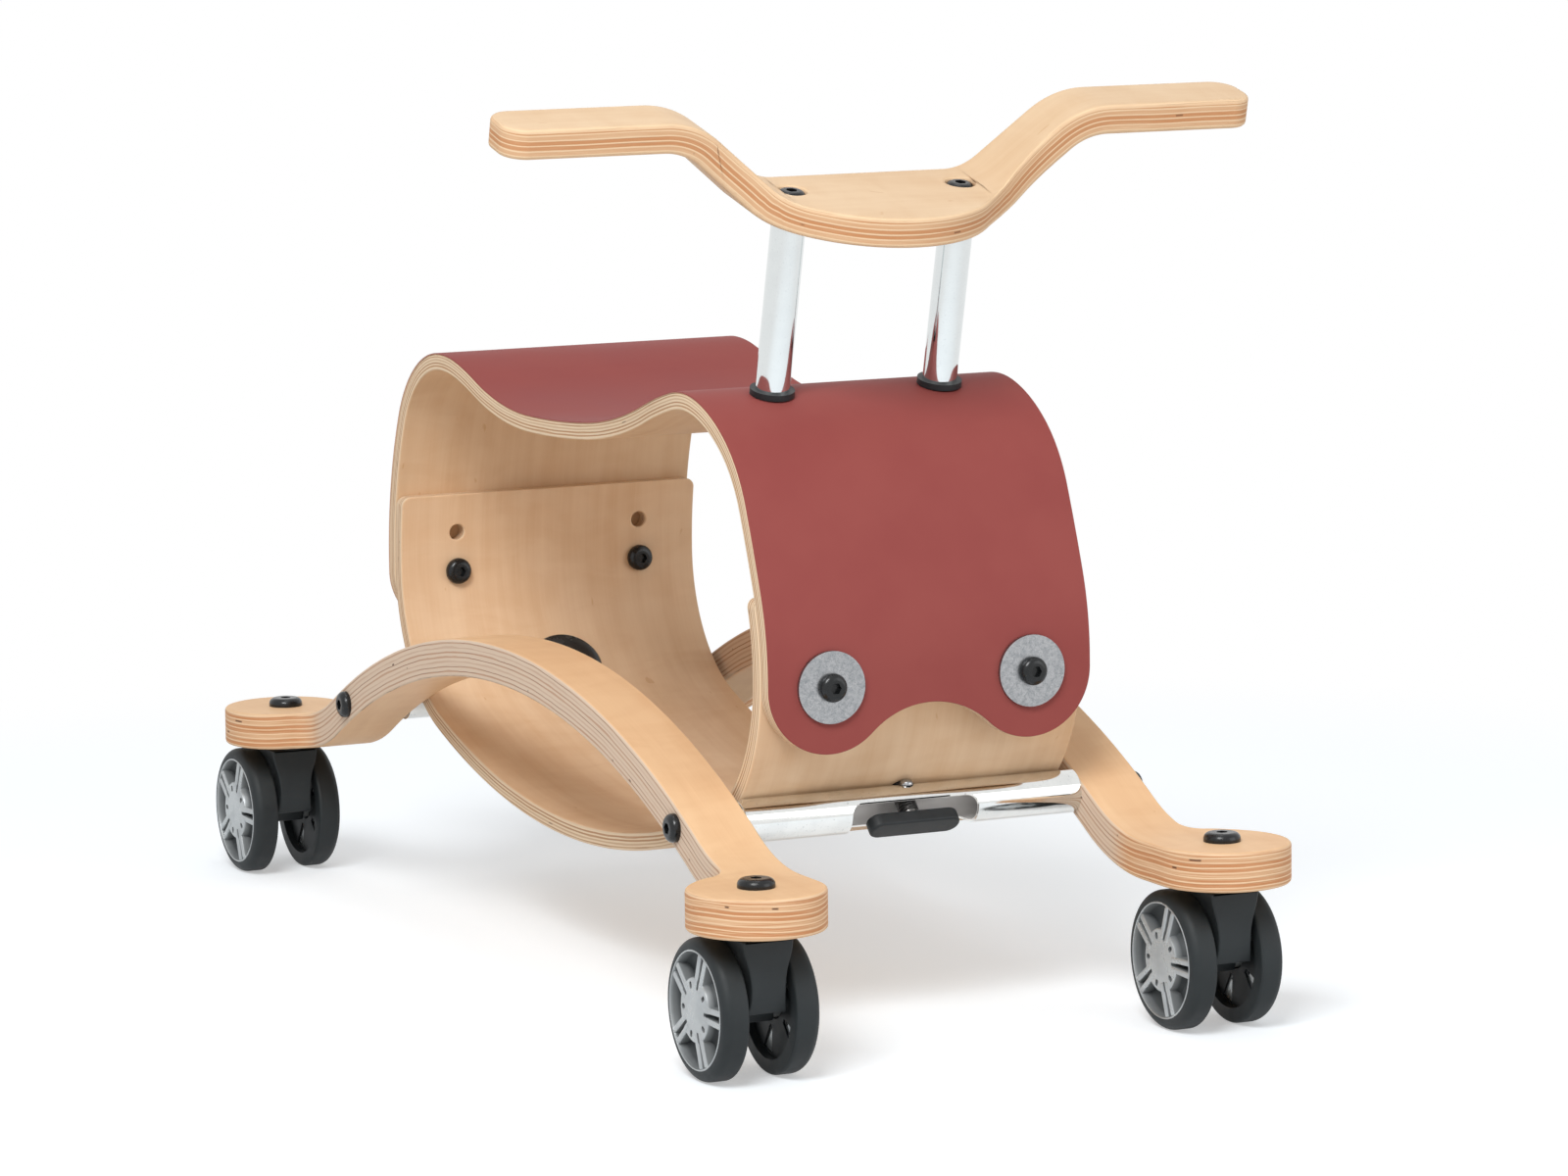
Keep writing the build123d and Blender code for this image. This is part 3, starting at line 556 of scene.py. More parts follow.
class Group:
    """A node group with named inputs and outputs."""

    KINDS = {"vector": "NodeSocketVector", "value": "NodeSocketFloat", "colour": "NodeSocketColor"}

    def __init__(self, name: str, takes: dict[str, str], gives: dict[str, str]) -> None:
        """Makes an empty group.

        Args:
            name: Name of the group.
            takes: Kind of each input by its name.
            gives: Kind of each output by its name.
        """
        self.tree = bpy.data.node_groups.new(name, "ShaderNodeTree")
        for label, kind in takes.items():
            self.tree.interface.new_socket(label, in_out="INPUT", socket_type=self.KINDS[kind])
        for label, kind in gives.items():
            self.tree.interface.new_socket(label, in_out="OUTPUT", socket_type=self.KINDS[kind])
        self.wiring = Wiring(self.tree)
        self.takes = self.wiring.add("NodeGroupInput").outputs
        self.gives = self.wiring.add("NodeGroupOutput").inputs

    def place(self, wiring: Wiring, inputs: dict) -> bpy.types.NodeOutputs:
        """Places the group in a material and gives its outputs there."""
        node = wiring.add("ShaderNodeGroup", node_tree=self.tree)
        for key, value in inputs.items():
            wiring.feed(node.inputs[key], value)
        return node.outputs


def build_figure() -> Group:
    """Figure of a sliced veneer: streaks along the grain, clouds, flecks and cross shimmer."""
    group = Group(
        "veneer_figure",
        {"Grain": "vector", "Base": "colour", "Dark": "colour", "Streaks": "value", "Flecks": "value"},
        {"Colour": "colour", "Height": "value"},
    )
    wire, takes = group.wiring, group.takes
    streaks = wire.noise(takes["Grain"], (0.006, 0.13, 0.1), 4.0, 0.15)
    fibres = wire.noise(takes["Grain"], (0.03, 1.1, 0.3), 3.0)
    clouds = wire.noise(takes["Grain"], (0.012, 0.03, 0.05), 2.0, 0.8)
    shimmer = wire.noise(takes["Grain"], (0.05, 0.02, 0.05), 2.0, 1.2)
    flecks = wire.ramp(wire.noise(takes["Grain"], (0.12, 1.4, 0.4), 2.0), 0.68, 0.78)
    knots = wire.ramp(wire.noise(takes["Grain"], (0.06, 0.16, 0.2), 1.0, 0.6), 0.76, 0.8)
    amount = wire.sum("MULTIPLY", wire.ramp(streaks, 0.3, 0.75), takes["Streaks"])
    amount = wire.sum("MULTIPLY_ADD", wire.sum("SUBTRACT", fibres, 0.5), 0.22, amount)
    amount = wire.sum("MULTIPLY_ADD", wire.ramp(clouds, 0.3, 0.7), 0.3, amount)
    amount = wire.sum("MULTIPLY_ADD", wire.ramp(shimmer, 0.35, 0.7), 0.18, amount)
    amount = wire.sum("MULTIPLY_ADD", flecks, takes["Flecks"], amount)
    amount = wire.sum("MULTIPLY_ADD", knots, 0.55, amount, clamp=True)
    wire.feed(group.gives["Colour"], wire.mix(amount, takes["Base"], takes["Dark"]))
    wire.feed(group.gives["Height"], wire.sum("SUBTRACT", 1.0, wire.sum("MULTIPLY", fibres, 0.6)))
    return group


GLUE_LINE, VOID = "7B503C", "55382B"


def build_plies() -> Group:
    """Edge of a sheet of plywood: brown veneers by turns with pale ones, glue lines and voids."""
    kinds = {"Lay": "vector", "Pale": "colour", "Brown": "colour"}
    values = ("Thickness", "Plies", "Pale share", "Veneer", "Glue", "Voids", "Ragged")
    group = Group(
        "ply_edge",
        kinds | dict.fromkeys(values, "value"),
        {"Colour": "colour", "Height": "value", "Edge": "value"},
    )
    wire, takes = group.wiring, group.takes
    lay = wire.split(takes["Lay"])
    depth = lay["Z"]
    nearest = wire.sum("MINIMUM", depth, wire.sum("SUBTRACT", takes["Thickness"], depth))
    wire.feed(group.gives["Edge"], wire.ramp(nearest, 0.25, 0.5))
    wobble = wire.noise(takes["Lay"], (0.012, 0.012, 0.0), 2.0)
    count = wire.sum("DIVIDE", wire.sum("MULTIPLY", depth, takes["Plies"]), takes["Thickness"])
    shift = wire.sum("MULTIPLY", wire.sum("SUBTRACT", wobble, 0.5), takes["Ragged"])
    count = wire.sum("MULTIPLY_ADD", shift, 1.1, count)
    number = wire.sum("FLOOR", count)
    share = wire.sum("FRACT", count)
    tone = wire.add("ShaderNodeTexWhiteNoise", {"W": number}, noise_dimensions="1D").outputs["Value"]
    layer = wire.sum("MULTIPLY", number, 7.3)
    spot = wire.add("ShaderNodeCombineXYZ", {"X": lay["X"], "Y": lay["Y"], "Z": layer}).outputs[0]
    fibres = wire.noise(takes["Lay"], (0.035, 0.035, 3.5), 4.0)
    patches = wire.noise(spot, (0.03, 0.03, 1.0), 3.0)
    width = wire.sum("MULTIPLY", takes["Pale share"], wire.ramp(patches, 0.25, 0.7, (0.6, 1.2)))
    over = wire.sum("SUBTRACT", share, width)
    brown = wire.sum("MULTIPLY", wire.ramp(over, -0.08, 0.08), wire.ramp(tone, 0.0, 1.0, (0.55, 1.0)))
    face_ply = wire.ramp(wire.sum("SUBTRACT", nearest, takes["Veneer"]), -0.15, 0.15, (0.25, 1.0))
    brown = wire.sum("MULTIPLY", brown, face_ply)
    fray = wire.sum("MULTIPLY", wire.sum("SUBTRACT", fibres, 0.5), takes["Ragged"])
    brown = wire.sum("MULTIPLY_ADD", fray, 0.8, brown)
    brown = wire.sum("MULTIPLY_ADD", wire.sum("SUBTRACT", patches, 0.5), 0.5, brown, clamp=True)
    colour = wire.mix(brown, takes["Pale"], takes["Brown"])
    line = wire.ramp(wire.sum("ABSOLUTE", over), 0.02, 0.1, (1.0, 0.0))
    line = wire.sum("MULTIPLY", line, wire.ramp(patches, 0.42, 0.6))
    glue = wire.sum("MULTIPLY", wire.sum("MULTIPLY", line, wire.ramp(tone, 0.3, 0.6)), takes["Glue"])
    colour = wire.mix(glue, colour, shade(GLUE_LINE))
    voids = wire.ramp(wire.noise(spot, (0.09, 0.09, 1.0), 1.0), 0.72, 0.75)
    inner = wire.ramp(wire.sum("SUBTRACT", nearest, takes["Veneer"]), 0.2, 0.5)
    off_middle = wire.sum("ABSOLUTE", wire.sum("SUBTRACT", share, 0.62))
    slit = wire.sum("MULTIPLY", inner, wire.ramp(off_middle, 0.12, 0.24, (1.0, 0.0)))
    voids = wire.sum("MULTIPLY", wire.sum("MULTIPLY", voids, slit), takes["Voids"])
    colour = wire.mix(voids, colour, shade(VOID))
    wire.feed(group.gives["Colour"], colour)
    height = wire.sum("SUBTRACT", wire.sum("MULTIPLY", fibres, 0.5), voids)
    wire.feed(group.gives["Height"], wire.sum("SUBTRACT", height, wire.sum("MULTIPLY", glue, 0.4)))
    return group


def build_speckle() -> Group:
    """Fine and coarse speckle for metal, plastic and rubber."""
    group = Group(
        "speckle",
        {"Place": "vector", "Fine": "value", "Coarse": "value"},
        {"Fine": "value", "Coarse": "value"},
    )
    wire, takes = group.wiring, group.takes
    for label in ("Fine", "Coarse"):
        inputs = {"Vector": takes["Place"], "Scale": takes[label], "Detail": 3.0, "Roughness": 0.6}
        wire.feed(group.gives[label], wire.add("ShaderNodeTexNoise", inputs).outputs["Fac"])
    return group


GROUPS: dict[str, Group] = {}


def shared(name: str, build: Callable[[], Group]) -> Group:
    """A node group that is built once and used by many finishes."""
    if name not in GROUPS:
        GROUPS[name] = build()
    return GROUPS[name]


@dataclass(frozen=True)
class Finish:
    """A finish with its material's name and the record's slot that it belongs to."""

    name: str
    slot: str

    def dress(self, wire: Wiring, shader: Node) -> None:
        """Joins the finish's own nodes to the shader."""
        raise NotImplementedError

    def material(self) -> bpy.types.Material:
        """The finish's material, made at its first use."""
        if self.name in bpy.data.materials:
            return bpy.data.materials[self.name]
        material = bpy.data.materials.new(self.name)
        material.use_nodes = True
        self.dress(Wiring(material.node_tree), material.node_tree.nodes["Principled BSDF"])
        return material

    def put_on(self, piece: Piece) -> None:
        """Gives a piece this finish alone."""
        piece.data.materials.clear()
        piece.data.materials.append(self.material())

    @staticmethod
    def coat(wire: Wiring, shader: Node, colour: object, rough: object) -> None:
        """Joins a colour and a roughness to the shader."""
        wire.feed(shader.inputs["Base Color"], colour)
        wire.feed(shader.inputs["Roughness"], rough)

    @staticmethod
    def bump(
        wire: Wiring, shader: Node, height: object, strength: float, depth: float
    ) -> None:
        """Joins a bump to the shader, with its depth in millimetres."""
        inputs = {"Height": height, "Strength": strength, "Distance": depth * MM}
        wire.feed(shader.inputs["Normal"], wire.add("ShaderNodeBump", inputs).outputs[0])


@dataclass(frozen=True)
class Plywood(Finish):
    """Lacquered birch plywood that shows its veneers on every cut edge.

    Attributes:
        thickness: Thickness of the sheet.
        plies: How many veneers it has.
        face: Colour of the face veneer.
        face_dark: Colour of its streaks.
        pale: Colour of the pale veneers.
        brown: Colour of the brown ones.
        pale_share: How much of each pair of veneers is pale.
        veneer: Thickness of the face veneers.
        glue: How dark the glue lines are.
        voids: How dark the gaps in the inner veneers are.
        streaks: How strong the face's streaks are.
        flecks: How strong its flecks are.
        pads: How far from the middle of the toy the edge is cut across the grain, in metres.
        pad_blend: Half the stretch over which the edge changes there, in metres.
        pad_share: How much of each pair of veneers is pale there.
        pad_ragged: How ragged the veneers are there, against 1 elsewhere.
        pad_glue: How dark the glue lines are there, against 1 elsewhere.
        end_pale: Colour of the pale veneers there.
        end_brown: Colour of the brown ones there.
    """

    slot: str = "birch_ply"
    thickness: float = 9.0
    plies: float = 7.0
    face: str = "F0CD9F"
    face_dark: str = "D9A871"
    pale: str = "E9D3B5"
    brown: str = "B98D68"
    pale_share: float = 0.55
    veneer: float = 1.0
    glue: float = 0.5
    voids: float = 0.6
    streaks: float = 0.3
    flecks: float = 0.1
    pads: float = 0.0
    pad_blend: float = 0.012
    pad_share: float = 0.3
    pad_ragged: float = 2.6
    pad_glue: float = 0.3
    end_pale: str = "EBCBA6"
    end_brown: str = "C68A5E"

    def dress(self, wire: Wiring, shader: Node) -> None:
        """Joins the veneers of the edge and the figure of the faces to the shader."""
        lay = wire.attribute("lay")
        inputs = {"Grain": lay, "Base": shade(self.face), "Dark": shade(self.face_dark)}
        inputs |= {"Streaks": self.streaks, "Flecks": self.flecks}
        figure = shared("figure", build_figure).place(wire, inputs)
        inputs = {"Lay": lay, "Thickness": self.thickness, "Plies": self.plies}
        inputs |= {"Veneer": self.veneer, "Voids": self.voids} | self._veneers(wire)
        plies = shared("plies", build_plies).place(wire, inputs)
        colour = wire.mix(plies["Edge"], figure["Colour"], plies["Colour"])
        self.coat(wire, shader, colour, wire.ramp(plies["Edge"], 0.0, 1.0, (0.5, 0.62)))
        height = wire.sum("MULTIPLY", plies["Height"], plies["Edge"])
        height = wire.sum("MULTIPLY_ADD", figure["Height"], 0.12, height)
        self.bump(wire, shader, height, 0.3, 0.2)
        shader.inputs["Specular IOR Level"].default_value = 0.2

    def _veneers(self, wire: Wiring) -> dict[str, object]:
        """Colours, shares, glue and raggedness of the veneers, which change at the pads."""
        pale, brown = shade(self.pale), shade(self.brown)
        share, glue, ragged = self.pale_share, self.glue, 1.0
        if self.pads:
            middle_y = sum(corner[1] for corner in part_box("seat_shell")) / 2
            ahead = wire.sum("SUBTRACT", wire.split(wire.place())["Y"], middle_y)
            low, high = self.pads - self.pad_blend, self.pads + self.pad_blend
            pad = wire.ramp(wire.sum("ABSOLUTE", ahead), low, high)
            share = wire.sum("MULTIPLY_ADD", pad, self.pad_share - share, share)
            ragged = wire.ramp(pad, 0.0, 1.0, (1.0, self.pad_ragged))
            glue = wire.sum("MULTIPLY", glue, wire.ramp(pad, 0.0, 1.0, (1.0, self.pad_glue)))
            brown = wire.mix(pad, brown, shade(self.end_brown))
            pale = wire.mix(pad, pale, shade(self.end_pale))
        return {"Pale": pale, "Brown": brown, "Pale share": share, "Glue": glue, "Ragged": ragged}


@dataclass(frozen=True)
class Laminate(Finish):
    """Thin coloured laminate with a pale core that shows on its cut edge."""

    slot: str = "red_laminate"
    colour: str = "904A47"
    worn: str = "944E4A"
    core: str = "CDA98E"
    core_depth: float = 0.5

    def dress(self, wire: Wiring, shader: Node) -> None:
        """Joins the colour, a faint cloud and the laminate's fine skin to the shader."""
        lay = wire.attribute("lay")
        depth = wire.split(lay)["Z"]
        cloud = wire.noise(lay, (0.02, 0.02, 0.0), 3.0)
        skin = wire.noise(lay, (2.2, 2.2, 0.0), 2.0)
        colour = wire.mix(wire.ramp(cloud, 0.3, 0.7), shade(self.colour), shade(self.worn))
        core = wire.ramp(depth, self.core_depth - 0.05, self.core_depth + 0.05)
        rough = wire.ramp(cloud, 0.2, 0.8, (0.44, 0.52))
        self.coat(wire, shader, wire.mix(core, colour, shade(self.core)), rough)
        self.bump(wire, shader, skin, 0.1, 0.05)
        shader.inputs["Specular IOR Level"].default_value = 0.04


@dataclass(frozen=True)
class Plated(Finish):
    """Plated steel, mottled where the plating varies.

    Attributes:
        colour: Colour of the bright plating.
        dull: Colour of the duller patches.
        gloss: Lowest and highest roughness.
        fine: How fine the speckle is, in spots per metre.
        coarse: How fine the patches are, in patches per metre.
        depth: Depth of the speckle.
        metallic: Share of metal in the surface.
        spots: Where in the fine speckle the dull spots begin, and where they are full.
        patchy: How much the plating varies from patch to patch.
    """

    slot: str = "chrome_steel"
    colour: str = "E4E6E8"
    dull: str = "C2C5C8"
    gloss: tuple[float, float] = (0.07, 0.2)
    fine: float = 900.0
    coarse: float = 120.0
    depth: float = 0.004
    metallic: float = 1.0
    spots: tuple[float, float] = (0.4, 0.62)
    patchy: float = 0.55

    def dress(self, wire: Wiring, shader: Node) -> None:
        """Joins the mottled plating to the shader."""
        inputs = {"Place": wire.place(), "Fine": self.fine, "Coarse": self.coarse}
        speckle = shared("speckle", build_speckle).place(wire, inputs)
        patches = wire.ramp(speckle["Coarse"], 0.35, 0.65)
        grit = wire.ramp(speckle["Fine"], *self.spots)
        share = wire.sum("MULTIPLY_ADD", grit, 0.45, wire.sum("MULTIPLY", patches, self.patchy))
        colour = wire.mix(share, shade(self.colour), shade(self.dull))
        self.coat(wire, shader, colour, wire.ramp(share, 0.0, 1.0, self.gloss))
        self.bump(wire, shader, speckle["Fine"], 0.4, self.depth)
        shader.inputs["Metallic"].default_value = self.metallic


@dataclass(frozen=True)
class BoredTube(Plated):
    """Chromed tube that lies across the toy, with a bare bore.

    Attributes:
        bore: Where the tube's axis lies in Y and Z, and the radius of its bore, in metres.
        bare: Colour of the bare metal.
    """

    bore: tuple[float, float, float] = (0.0, 0.0, 0.0)
    bare: str = "F4F2F0"

    def dress(self, wire: Wiring, shader: Node) -> None:
        """Joins the plating, and the bare metal of the bore, to the shader."""
        super().dress(wire, shader)
        across, height, radius = self.bore
        inputs = {"Location": (0.0, -across, -height), "Scale": (0.0, 1.0, 1.0)}
        arm = wire.add("ShaderNodeMapping", {"Vector": wire.place()} | inputs).outputs[0]
        inside = wire.ramp(wire.length(arm), radius + 0.0002, radius + 0.0005, (1.0, 0.0))
        plated = shader.inputs["Base Color"].links[0].from_socket
        sheen = wire.sum("MULTIPLY_ADD", inside, 0.4, shader.inputs["Roughness"].links[0].from_socket)
        self.coat(wire, shader, wire.mix(inside, plated, shade(self.bare)), sheen)
        wire.feed(shader.inputs["Metallic"], wire.sum("MULTIPLY_ADD", inside, -0.9, self.metallic))


@dataclass(frozen=True)
class Moulded(Finish):
    """Moulded plastic or rubber with a fine spark grain.

    Attributes:
        colour: Its own colour.
        dusty: Colour of its slightly dusty patches.
        gloss: Lowest and highest roughness.
        grain: How fine the spark grain is, in grains per metre.
        dust: How fine the dusty patches are, in patches per metre.
        depth: Depth of the grain.
        metallic: Share of metal flake in the plastic.
        shine: How strongly the surface reflects, 0.5 being usual.
        recess: Painted shade: a darker colour laid on its recesses, where the piece marks them.
    """

    slot: str = "black_plastic"
    colour: str = "26292B"
    dusty: str = "33373A"
    gloss: tuple[float, float] = (0.42, 0.56)
    grain: float = 1600.0
    dust: float = 60.0
    depth: float = 0.03
    metallic: float = 0.0
    shine: float = 0.28
    recess: str = ""

    def dress(self, wire: Wiring, shader: Node) -> None:
        """Joins the grain, the faint dust and any painted shade of its recesses to the shader."""
        inputs = {"Place": wire.place(), "Fine": self.grain, "Coarse": self.dust}
        speckle = shared("speckle", build_speckle).place(wire, inputs)
        patches = wire.ramp(speckle["Coarse"], 0.3, 0.7)
        colour = wire.mix(patches, shade(self.colour), shade(self.dusty))
        rough = wire.ramp(patches, 0.0, 1.0, self.gloss)
        # Painted shade: the recess colour darkens the marked recesses, in place of the shade that falls in
        # them.
        if self.recess:
            deep = wire.attribute("recess", "Fac")
            colour = wire.mix(deep, colour, shade(self.recess))
            wire.feed(shader.inputs["Metallic"], wire.ramp(deep, 0.0, 1.0, (self.metallic, 0.1)))
            rough = wire.sum("MULTIPLY_ADD", deep, 0.25, rough)
        self.coat(wire, shader, colour, rough)
        self.bump(wire, shader, speckle["Fine"], 0.3, self.depth)
        shader.inputs["Metallic"].default_value = self.metallic
        shader.inputs["Specular IOR Level"].default_value = self.shine


SHELL_PLY = Plywood("shell ply", thickness=8.2, plies=5.0, face="E3C7A6", face_dark="CFA880")
BOWL_PLY = Plywood("bowl ply", plies=5.0, face="EACDAC", face_dark="D6AF87", veneer=1.2)
ARCH_PLY = Plywood(
    "arch ply", thickness=19.4, plies=8.0, face="EDC79D", face_dark="DAAC80", pale="DCC6B0", brown="C09A80",
    pale_share=0.75, veneer=1.4, glue=0.8, voids=0.85, streaks=0.2, pads=0.262,
)
BAR_PLY = Plywood(
    "bar ply", thickness=15.0, plies=6.0, face="E3C7A5", face_dark="D3AF88", pale="EBCDA8", brown="C88E62",
    pale_share=0.3, veneer=2.1, glue=0.3, streaks=0.25,
)
RED = Laminate("red laminate")
CHROME = Plated("chromed post", colour="DFE3E3", dull="C4C8CB", spots=(0.6, 0.75), patchy=0.1)
ZINC = Plated(
    "zinc washer", "zinc_steel", colour="AEAFB1", dull="86898C", gloss=(0.26, 0.4), fine=1300.0,
    coarse=500.0, depth=0.015,
)
BLACKED = Plated(
    "blacked bolt", "black_steel", colour="1E2022", dull="141617", gloss=(0.2, 0.32), fine=1500.0,
    metallic=0.3,
)
THREAD = Plated(
    "dark thread", "zinc_steel", colour="6E6C6A", dull="3C3B3A", gloss=(0.25, 0.4), metallic=0.7
)
BLACK = Moulded("black plastic", colour="1F2224", dusty="2A2D2F", gloss=(0.36, 0.5))
GLOSS_BLACK = Moulded(
    "gloss black plastic", colour="202325", dusty="292C2E", gloss=(0.22, 0.32), shine=0.5
)
FORK_BLACK = Moulded("fork plastic", colour="262A2C", dusty="2B3032", gloss=(0.42, 0.54))
# The silver plastic's recess colour is painted shade for the rim's pockets.
SILVER = Moulded(
    "silver plastic", "silver_plastic", colour="B6BABB", dusty="A6AAAC", recess="464A4C",
    gloss=(0.26, 0.36), grain=2400.0, metallic=0.6, shine=0.5,
)
RUBBER = Moulded(
    "tyre rubber", "black_rubber", colour="24282A", dusty="2A2F31", gloss=(0.5, 0.62), grain=1200.0
)


# ------------------------------------------------------------------ bent sheets
@dataclass
class BentSheet:
    """A sheet of plywood or laminate that is bent along a route and cut to an outline.

    Attributes:
        name: Name of the piece.
        bench: The plane of the route, whose normal runs across the sheet.
        route: Line of the sheet's upper face.
        near: Depth of the upper face below the route.
        far: Depth of the lower face below the route.
        sides: Where the sheet's two edges lie across it, before it is cut.
        edge: Width of its eased edges.
    """

    name: str
    bench: Bench
    route: Route
    near: float
    far: float
    sides: tuple[float, float]
    edge: float = 0.8

    def build(
        self,
        outline: Piece | None = None,
        cutters: Sequence[Piece] = (),
        step: float = Work.STEP,
    ) -> Piece:
        """Bends the sheet, cuts it and eases its edges.

        Args:
            outline: A prism that the sheet is trimmed to.
            cutters: Solids that are cut out of it.
            step: Largest turn of one facet, in radians.

        Returns:
            The finished sheet, in metres.
        """
        near = self.route.beside(self.near)
        first = near.legs[0]
        work = Work(self.name, self.bench, (*first.start, self.sides[0]))
        down = -first.left * (self.far - self.near)
        work.edge(down.x, down.y).face(0, 0, self.sides[1] - self.sides[0])
        work.follow(near, step=step)
        piece = work.done()
        if outline:
            carve(piece, outline, Cut.KEEP_INSIDE)
        for cutter in cutters:
            carve(piece, cutter)
        tidy(piece)
        if self.edge:
            ease(piece, self.edge, 3)
        smooth(piece)
        self.mark(piece)
        return settle(piece)

    def mark(self, piece: Piece) -> None:
        """Writes each point's distance along, across and into the sheet as an attribute."""
        values: list[float] = []
        for vertex in piece.data.vertices:
            a, b, c = self.bench.place(vertex.co)
            travel, depth = self.route.locate(Vector((a, b)))
            values += (travel, c, depth - self.near)
        layer = piece.data.attributes.new("lay", "FLOAT_VECTOR", "POINT")
        layer.data.foreach_set("vector", values)


def prism(
    name: str, bench: Bench, outline: Route, low: float, high: float, step: float = Work.STEP
) -> Piece:
    """A solid with a drawn outline.

    Args:
        name: Name of the solid.
        bench: The plane that the outline is drawn on.
        outline: A closed route.
        low: Height of the solid's foot over the plane.
        high: Height of its top.
        step: Largest turn of one facet, in radians.

    Returns:
        The solid.
    """
    work = Work(name, bench, (*outline.start, low))
    work.bench = Bench(bench.at(0, 0, low), bench.along, bench.up)
    work.follow(outline, points=True, step=step).fill().pull(0, 0, high - low)
    return work.done()


@dataclass
class Body:
    """The hollow body: seat shell with its laminate, and the bowl that closes it below."""

    width: float = 172.0
    length: float = 482.0
    shell_ply: float = 8.2
    laminate: float = 0.8
    bowl_ply: float = 9.0
    wall_height: float = 177.0
    bolt_height: float = 172.3
    bolt_x: float = 53.5
    row_pitch: float = 21.0
    crest_height: float = 161.0
    bowl_top: float = 214.3
    bend_height: float = 175.8
    bend_radius: float = 77.0
    floor_height: float = 73.0
    corner: float = 5.0
    spare_hole: float = 8.4
    overlap: float = 8.0
    trim: float = 6.0
    slack: float = 0.1
    stud_slack: float = 0.4
    stations: tuple[tuple[float, float, float], ...] = (
        (-218.4, 257.9, 67.0),
        (-161.6, 303.9, 14.0),
        (-100.0, 295.6, -19.4),
        (45.7, 276.3, 0.0),
        (117.0, 288.2, 19.0),
        (162.5, 297.2, 0.0),
        (241.0, 177.0, -90.0),
    )
    foot: float = 120.0

    def __post_init__(self) -> None:
        """Works out where the body's middle lies."""
        self.mid_y = middle("seat_shell").y
        self.side = Bench(Vector((0, self.mid_y, 0)), Y, Z)
        self.front = Bench(Vector((0, self.mid_y, 0)), X, Z)
        self.skin = Route((-self.length / 2, self.foot), 90).run(self.wall_height - self.foot)
        self.skin.through(self.stations).run(self.wall_height - self.foot)

    def wave(self) -> Route:
        """Outline of the shell from the front: two lobes with a wave between them."""
        lobe = self.width / 2 - self.bolt_x
        rise = self.bolt_height - self.crest_height
        crest = (self.bolt_x**2 + rise**2 - lobe**2) / (2 * (lobe - rise))
        lean = degrees(atan2(self.bolt_x, rise + crest))
        outline = Route((self.width / 2, self.length), -90).run(self.length - self.bolt_height)
        outline.bend(lobe, -90 - lean).bend(crest, 2 * lean).bend(lobe, -90 - lean)
        return outline.run(self.length - self.bolt_height)

    def bowl_route(self) -> Route:
        """Line of the bowl's outside, from the top of its rear wall to that of its front one."""
        depth = self.shell_ply + self.laminate
        outer = self.bend_radius + self.bowl_ply
        bend_y = self.length / 2 - depth - outer
        drop = self.bend_height - self.floor_height
        floor = (bend_y**2 + drop**2 - self.bend_radius**2) / (2 * (drop - self.bend_radius))
        swing = degrees(asin(bend_y / (floor - self.bend_radius)))
        shell = self.skin.beside(depth)
        rear, fore = shell.legs[-2], shell.legs[1]
        rise = self.bowl_top - self.wall_height + self.overlap
        tail = rear.part(rear.length - rise, rear.length)
        route = Route(tail.start, degrees(tail.way))
        route.legs = [tail]
        route.run(self.wall_height - self.bend_height).bend(outer, swing - 90)
        route.bend(floor + self.bowl_ply, -2 * swing).bend(outer, swing - 90)
        route.run(self.wall_height - self.bend_height)
        route.legs.append(fore.part(0, rise))
        return route

    def build(self) -> None:
        """Builds the shell, its laminate and the bowl."""
        half = self.width / 2
        total = self.shell_ply + self.laminate
        reach, sides = self.length, (-half - self.trim, half + self.trim)
        for name, node, near, far, finish, edge in (
            ("seat_shell_ply", "seat_shell", self.laminate, total, SHELL_PLY, 0.9),
            ("seat_red_laminate", "seat_laminate", 0.0, self.laminate, RED, 0.3),
        ):
            cutter = prism("shell_outline", self.front, self.wave(), -reach, reach)
            sheet = BentSheet(name, self.side, self.skin, near, far, sides, edge)
            hand_over(sheet.build(cutter, step=FINE_STEP), "frame", finish, node)
        outline = Route((-half, self.corner), 90)
        for length in (self.bowl_top, self.width) * 2:
            outline.run(length - 2 * self.corner).bend(self.corner, -90)
        cutter = prism("bowl_outline", self.front, outline, -reach, reach)
        bowl = BentSheet("bowl_ply_shell", self.side, self.bowl_route(), 0.0, self.bowl_ply, sides, 0.9)
        hand_over(bowl.build(cutter, self._holes(), FINE_STEP), "frame", BOWL_PLY, "bowl_shell")

    def _holes(self) -> list[Piece]:
        """Cutters for the bowl's spare holes and for the seats of the clamp screws."""
        reach, height = self.length, self.bolt_height + self.row_pitch
        holes = [
            rod("spare_hole", self.front, (x, height, -reach), self.spare_hole / 2, 2 * reach)
            for x in (-self.bolt_x, self.bolt_x)
        ]
        for screw in (ClampScrew("front"), ClampScrew("rear")):
            deep, mouth = screw.flange_height + screw.barrel_depth + self.slack, screw.mouth()
            holes.append(rod("insert_hole", mouth, (0, 0, -deep), screw.barrel / 2, 2 * deep))
            radius = screw.stud / 2 + self.stud_slack
            holes.append(rod("stud_hole", mouth, (0, 0, 0), radius, 6 * deep))
        return holes


